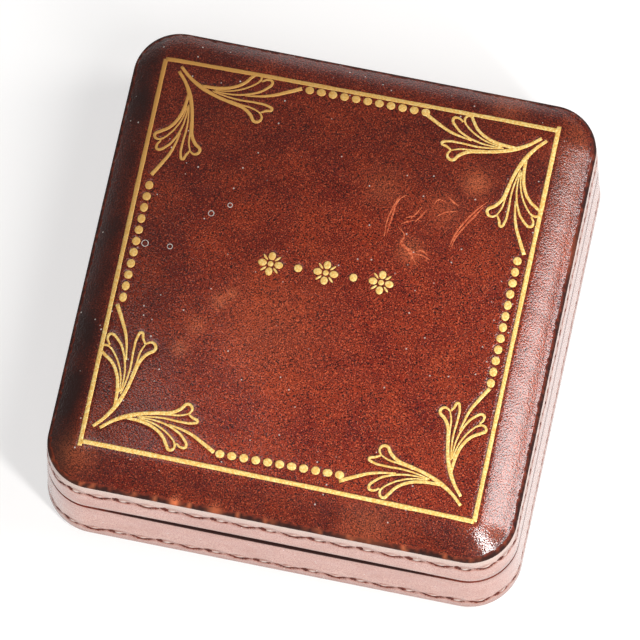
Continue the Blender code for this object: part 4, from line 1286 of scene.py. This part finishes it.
def stuff(piece, held, pressure, slack):
    """Blow up a closed cover as its stuffing does, by a cloth simulation that keeps the held points in place.

    The cover is simulated at ten times its size, because Blender's cloth is tuned for larger things.
    """
    scene = bpy.context.scene
    mesh = piece.data
    start = points_of(mesh)
    middle = (start.min(axis=0) + start.max(axis=0)) / 2
    move_points(mesh, (start - middle) * CLOTH_SCALE)
    piece.vertex_groups.new(name="held").add(held, 1.0, "REPLACE")
    cloth = piece.modifiers.new("stuffing", "CLOTH")
    cloth.settings.quality = 6
    cloth.settings.vertex_group_mass = "held"
    cloth.settings.use_pressure = True
    cloth.settings.uniform_pressure_force = pressure
    cloth.settings.shrink_min = -slack
    cloth.settings.effector_weights.gravity = 0
    cloth.collision_settings.use_collision = False
    cloth.point_cache.frame_start = 1
    cloth.point_cache.frame_end = CLOTH_FRAMES
    for number in range(1, CLOTH_FRAMES + 1):
        scene.frame_set(number)
    blown = piece.evaluated_get(bpy.context.evaluated_depsgraph_get())
    move = points_of(blown.data) / CLOTH_SCALE + middle - start
    piece.modifiers.clear()
    piece.vertex_groups.clear()
    scene.frame_set(1)
    reach = np.linalg.norm(move, axis=1, keepdims=True)
    move *= np.minimum(1, CLOTH_CAP / np.maximum(reach, 1e-9))
    move_points(mesh, start + move)


def smooth_once(piece):
    """Subdivide a piece once, and keep the result as its mesh."""
    piece.modifiers.new("smooth", "SUBSURF").levels = 1
    keep_modified(piece)


def close_foot(piece):
    """Close the open foot of a piece with one face."""
    shape = bmesh.new()
    shape.from_mesh(piece.data)
    bmesh.ops.contextual_create(shape, geom=[edge for edge in shape.edges if edge.is_boundary])
    bmesh.ops.recalc_face_normals(shape, faces=shape.faces[:])
    shape.to_mesh(piece.data)
    shape.free()


def fit_box(piece, low, high):
    """Stretch a piece to fill a box."""
    low, high = np.array(low), np.array(high)
    points = points_of(piece.data)
    least, most = points.min(axis=0), points.max(axis=0)
    move_points(piece.data, low + (points - least) / (most - least) * (high - low))


class JEWELLERY_CASE_OT_stuff_cushions(Operator):
    """Make the velvet bed of the well and the satin cushion of the lid"""

    bl_idname = "jewellery_case.stuff_cushions"
    bl_label = "Stuff the cushions"

    CELL = 1.5 * MM
    SIDE_SHARE = 0.45
    PRESSURE = 0.35
    SLACK = 0.025

    def execute(self, context):
        self.cushion("well_cushion", "well_pad", "velvet", "base", cotton_velvet(context), hanging=False)
        self.cushion("lid_cushion", "lid_pad", "satin", "lid", silk_satin(context), hanging=True)
        return {"FINISHED"}

    def cushion(self, name, node, slot, body, material, hanging):
        """Pad held down round its foot, which crowns in the middle and puckers where it is turned under."""
        low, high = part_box(node)
        count_x, count_y = (round(side / self.CELL) for side in (high.x - low.x, high.y - low.y))
        across = np.linspace(low.x, high.x, count_x + 1)
        back = np.linspace(low.y, high.y, count_y + 1)
        edge = low.z + self.SIDE_SHARE * (high.z - low.z)
        shape = bmesh.new()
        # Each vertex is made in a fixed order, so that the simulation gives the same result each run
        rows = [[shape.verts.new((x, y, edge)) for x in across] for y in back]
        for row, following in zip(rows, rows[1:]):
            for index in range(count_x):
                shape.faces.new((row[index], row[index + 1], following[index + 1], following[index]))
        front, right = rows[0][:-1], [row[-1] for row in rows[:-1]]
        behind, left = rows[-1][:0:-1], [row[0] for row in rows[:0:-1]]
        rim = front + right + behind + left
        bridge(shape, [rim, [shape.verts.new((*vertex.co.xy, low.z)) for vertex in rim]])
        piece = new_piece(name, shape, material)
        if piece.data.polygons[0].normal.z < 0:
            piece.data.flip_normals()
        held = [vertex.index for vertex in piece.data.vertices if vertex.co.z < low.z + HAIR]
        stuff(piece, held, self.PRESSURE, self.SLACK)
        smooth_once(piece)
        close_foot(piece)
        fit_box(piece, low, high)
        if hanging:
            points = points_of(piece.data)
            points[:, 2] = low.z + high.z - points[:, 2]
            move_points(piece.data, points)
            piece.data.flip_normals()
        stand_in(piece, node, body)


class JEWELLERY_CASE_OT_stuff_ring_rolls(Operator):
    """Make the velvet rolls that grip rings"""

    bl_idname = "jewellery_case.stuff_ring_rolls"
    bl_label = "Stuff the ring rolls"

    ROLLS = ("ring_roll_1", "ring_roll_2", "ring_roll_3", "ring_roll_4")
    RINGS = 60
    SPOKES = 28
    # Pleats at the ends: how many, how deep, and how much of the roll's thickness is left there
    PLEATS = 9
    PLEAT_DEPTH = 0.12
    END_SHARE = 0.3
    # Share of its full thickness that a roll starts from, and its stuffing
    START_SHARE = 0.9
    PRESSURE = 1.5
    SLACK = 0.03

    def execute(self, context):
        for number, node in enumerate(self.ROLLS, 1):
            low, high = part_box(node)
            piece = new_piece(f"{node}_cover", self.roll(low, high, number), cotton_velvet(context))
            ends = [vertex.index for vertex in piece.data.vertices if abs(vertex.co.x) > high.x - HAIR]
            stuff(piece, ends, self.PRESSURE, self.SLACK)
            smooth_once(piece)
            fit_box(piece, low, high)
            stand_in(piece, node, "base")
        return {"FINISHED"}

    def roll(self, low, high, number):
        """Tube of velvet before it is stuffed, gathered into pleats at both ends."""
        middle = (low + high) / 2
        half_length = (high.x - low.x) / 2
        radius_y, radius_z = (high.y - low.y) / 2, (high.z - low.z) / 2
        shape = bmesh.new()
        rings = []
        for step in range(self.RINGS + 1):
            share = -math.cos(math.pi * step / self.RINGS)
            full = self.END_SHARE + (1 - self.END_SHARE) * (1 - abs(share) ** 16) ** 0.5
            gather = abs(share) ** 12
            ring = []
            for spoke in range(self.SPOKES):
                turned = 2 * math.pi * spoke / self.SPOKES
                pleat = 1 - self.PLEAT_DEPTH * gather * (1 + math.cos(self.PLEATS * turned + number))
                reach = self.START_SHARE * full * pleat
                y = middle.y + radius_y * reach * math.cos(turned)
                z = middle.z + radius_z * reach * math.sin(turned)
                ring.append(shape.verts.new((middle.x + half_length * share, y, z)))
            rings.append(ring)
        bridge(shape, rings)
        shape.faces.new(rings[0])
        shape.faces.new(rings[-1])
        return shape


class JEWELLERY_CASE_OT_fit_hinges(Operator):
    """Finish the hinges in brass, with slotted screws"""

    bl_idname = "jewellery_case.fit_hinges"
    bl_label = "Fit the hinges"

    SLOT_WIDTH = 0.32 * MM
    SLOT_DEPTH = 0.25 * MM
    HEAD = 0.6 * MM
    SHANK_SHARE = 0.5
    TIP = 1.0 * MM
    STEPS = 32
    # Way of the first screw's slot, and the turn from each screw to the next, in degrees
    FIRST_TURN = 35
    NEXT_TURN = 50
    SHARP_ANGLE = 30

    def execute(self, context):
        metal = rolled_brass_filed(context)
        for hinge in HINGES:
            dress(metal, f"{hinge}_base_leaf", f"{hinge}_lid_leaf", f"{hinge}_pin")
        for number, node in enumerate(SCREWS):
            body = "lid" if "_lid_" in node else "base"
            turned = math.radians(self.FIRST_TURN + self.NEXT_TURN * number)
            stand_in(self.screw(node, metal, body == "lid", turned), node, body)
        return {"FINISHED"}

    def screw(self, node, metal, upside_down, turned):
        """Countersunk screw with a slot across its head."""
        low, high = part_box(node)
        radius = (high.x - low.x) / 2
        shank = radius * self.SHANK_SHARE
        whole = high.z - low.z
        profile = (
            (0, 0), (radius * 0.97, 0), (radius, -0.04 * MM), (radius, -0.1 * MM), (shank, -self.HEAD),
            (shank, self.TIP - whole), (0, -whole),
        )
        shape = bmesh.new()
        corners = [shape.verts.new((x, 0, z)) for x, z in profile]
        edges = [shape.edges.new(pair) for pair in zip(corners, corners[1:])]
        bmesh.ops.spin(
            shape, geom=corners + edges, axis=(0, 0, 1), cent=(0, 0, 0), angle=2 * math.pi, steps=self.STEPS,
            use_merge=True,
        )
        bmesh.ops.remove_doubles(shape, verts=shape.verts[:], dist=JOIN)
        flip = Matrix.Rotation(math.pi if upside_down else 0, 4, "X")
        middle = Vector(((low.x + high.x) / 2, (low.y + high.y) / 2, low.z if upside_down else high.z))
        place = Matrix.Translation(middle) @ flip
        bmesh.ops.transform(shape, matrix=place, verts=shape.verts[:])
        piece = new_piece(f"{node}_slotted", shape, metal)
        slot = bmesh.new()
        size = Matrix.Diagonal((3 * radius, self.SLOT_WIDTH, 2 * self.SLOT_DEPTH, 1))
        bmesh.ops.create_cube(slot, size=1, matrix=place @ Matrix.Rotation(turned, 4, "Z") @ size)
        cut_out(piece, [slot])
        piece.data.set_sharp_from_angle(angle=math.radians(self.SHARP_ANGLE))
        return piece


class JEWELLERY_CASE_OT_finish_carcass(Operator):
    """Finish the boards, frames, collar and bottom cover"""

    bl_idname = "jewellery_case.finish_carcass"
    bl_label = "Finish the carcass"

    def execute(self, context):
        colours = context.scene.case_colours
        dress(planed_poplar(context), "base_board", "base_frame", "lid_board", "lid_frame")
        dress(pulp("pulp_card", colours.card, 0.8 * MM, 0.85), "base_collar")
        dress(pulp("sheep_skiver", colours.skiver, 1.1 * MM, 0.6), "base_bottom_cover")
        return {"FINISHED"}


class JEWELLERY_CASE_OT_set_stage(Operator):
    """Set up the floor, the room, the lamps and the camera"""

    bl_idname = "jewellery_case.set_stage"
    bl_label = "Set the stage"

    FLOOR_HALF = 20.0
    FLOOR_GLOW = 0.62
    # Brightness of the room at the horizon, and between which heights it passes to the sky
    HORIZON = 1.0
    HORIZON_RISE = (0.05, 0.25)
    # Lamps: property that holds the radiance, way from the case, distance, width and height, and whether
    # gloss mirrors it; one that isn't mirrored leaves no glare on the wax
    LAMPS = {
        "key_softbox": ("key", (0.63, 0.16, 0.76), 0.9, (0.26, 0.62), True),
        "front_softbox": ("fill", (-0.12, -0.95, 0.24), 0.9, (0.9, 0.36), False),
        "back_softbox": ("back", (-0.5, 0.84, 0.16), 0.9, (0.9, 0.36), False),
        "left_softbox": ("sheen", (-0.3, 0.04, 0.955), 0.9, (0.16, 0.16), True),
        "corner_strip": ("strip", (0.56, -0.43, 0.707), 1.0, (0.09, 0.9), True),
    }

    def execute(self, context):
        stage = context.scene.case_stage
        context.scene.view_settings.view_transform = "Standard"
        self.floor(context)
        self.room(context, stage.sky)
        for name, (level, way, distance, size, mirrored) in self.LAMPS.items():
            lamp = self.lamp(context, name, getattr(stage, level), way, distance, size)
            lamp.visible_glossy = mirrored
        self.camera(context, stage)
        return {"FINISHED"}

    def floor(self, context):
        """Matt floor that shows white from afar, and keeps the shadow of the case."""
        material = bpy.data.materials.new("matt_floor")
        tree = empty_tree(material)
        coat = add(tree, "ShaderNodeBsdfDiffuse", {"Color": rgba(context.scene.case_colours.floor)})
        ray = add(tree, "ShaderNodeLightPath").outputs
        seen = add(tree, "ShaderNodeMath", (ray["Is Camera Ray"], ray["Is Glossy Ray"]), operation="MAXIMUM")
        through = add(tree, "ShaderNodeMath", (seen, ray["Is Transmission Ray"]), operation="MAXIMUM")
        level = add(tree, "ShaderNodeMath", (through, self.FLOOR_GLOW), operation="MULTIPLY")
        glow = add(tree, "ShaderNodeEmission", {"Strength": level})
        both = add(tree, "ShaderNodeAddShader", (coat, glow))
        add(tree, "ShaderNodeOutputMaterial", {"Surface": both})
        shape = bmesh.new()
        bmesh.ops.create_grid(shape, x_segments=1, y_segments=1, size=self.FLOOR_HALF)
        new_piece("studio_floor", shape, material, smooth=False)

    def room(self, context, sky):
        """Room that is white at the horizon and dim overhead."""
        world = bpy.data.worlds.new("studio_room")
        tree = empty_tree(world)
        way = add(tree, "ShaderNodeTexCoord").outputs["Generated"]
        height = add(tree, "ShaderNodeSeparateXYZ", (way,)).outputs["Z"]
        level = add(
            tree, "ShaderNodeMapRange", (height, *self.HORIZON_RISE, self.HORIZON, sky),
            interpolation_type="SMOOTHSTEP",
        )
        glow = add(tree, "ShaderNodeBackground", {"Strength": level})
        add(tree, "ShaderNodeOutputWorld", {"Surface": glow})
        context.scene.world = world

    def lamp(self, context, name, level, way, distance, size):
        """Softbox that faces the case from the given way."""
        light = bpy.data.lights.new(name, "AREA")
        light.shape = "RECTANGLE"
        light.size, light.size_y = size
        light.energy = level * math.pi * size[0] * size[1]
        lamp = bpy.data.objects.new(name, light)
        context.scene.collection.objects.link(lamp)
        back = Vector(way).normalized()
        lamp.location = back * distance
        lamp.rotation_euler = back.to_track_quat("Z", "Y").to_euler()
        lamp.visible_camera = False
        return lamp

    def camera(self, context, stage):
        """Camera at the photograph's angle."""
        lens = bpy.data.cameras.new("camera")
        lens.lens = stage.lens
        lens.sensor_width = 36
        lens.clip_start, lens.clip_end = 0.1, 100
        camera = bpy.data.objects.new("camera", lens)
        context.scene.collection.objects.link(camera)
        flat = math.cos(stage.elevation)
        ahead = Vector(
            (flat * math.sin(stage.azimuth), flat * math.cos(stage.azimuth), -math.sin(stage.elevation))
        )
        right = ahead.cross(Vector((0, 0, 1))).normalized()
        up = right.cross(ahead)
        right, up = (
            math.cos(stage.roll) * right - math.sin(stage.roll) * up,
            math.sin(stage.roll) * right + math.cos(stage.roll) * up,
        )
        place = Vector(stage.aim) - ahead * stage.distance
        camera.matrix_world = Matrix.Translation(place) @ Matrix((right, up, -ahead)).transposed().to_4x4()
        context.scene.camera = camera


OPERATORS = (
    JEWELLERY_CASE_OT_set_stage,
    JEWELLERY_CASE_OT_gild_lid,
    JEWELLERY_CASE_OT_cover_lid,
    JEWELLERY_CASE_OT_cover_sides,
    JEWELLERY_CASE_OT_line_inside,
    JEWELLERY_CASE_OT_stuff_cushions,
    JEWELLERY_CASE_OT_stuff_ring_rolls,
    JEWELLERY_CASE_OT_fit_hinges,
    JEWELLERY_CASE_OT_finish_carcass,
)


class JEWELLERY_CASE_PT_panel(Panel):
    """Sizes, colours and steps of the jewellery case's finish"""

    bl_idname = "JEWELLERY_CASE_PT_panel"
    bl_label = "Jewellery case"
    bl_space_type = "VIEW_3D"
    bl_region_type = "UI"
    bl_category = "Jewellery case"

    def draw(self, context):
        scene = context.scene
        for group in (scene.case_sizes, scene.case_colours, scene.case_stage):
            box = self.layout.box()
            for name in type(group).__annotations__:
                box.prop(group, name)
        for step in OPERATORS:
            self.layout.operator(step.bl_idname)


CLASSES = (CaseSizes, CaseColours, CaseStage, *OPERATORS, JEWELLERY_CASE_PT_panel)


def register():
    for made in CLASSES:
        bpy.utils.register_class(made)
    bpy.types.Scene.case_sizes = PointerProperty(type=CaseSizes)
    bpy.types.Scene.case_colours = PointerProperty(type=CaseColours)
    bpy.types.Scene.case_stage = PointerProperty(type=CaseStage)


def unregister():
    del bpy.types.Scene.case_stage
    del bpy.types.Scene.case_colours
    del bpy.types.Scene.case_sizes
    for made in reversed(CLASSES):
        bpy.utils.unregister_class(made)


def main():
    """Dress the case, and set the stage."""
    register()
    bpy.ops.jewellery_case.set_stage()
    bpy.ops.jewellery_case.gild_lid()
    bpy.ops.jewellery_case.cover_lid()
    bpy.ops.jewellery_case.cover_sides()
    bpy.ops.jewellery_case.line_inside()
    bpy.ops.jewellery_case.stuff_cushions()
    bpy.ops.jewellery_case.stuff_ring_rolls()
    bpy.ops.jewellery_case.fit_hinges()
    bpy.ops.jewellery_case.finish_carcass()


if __name__ == "__main__":
    main()
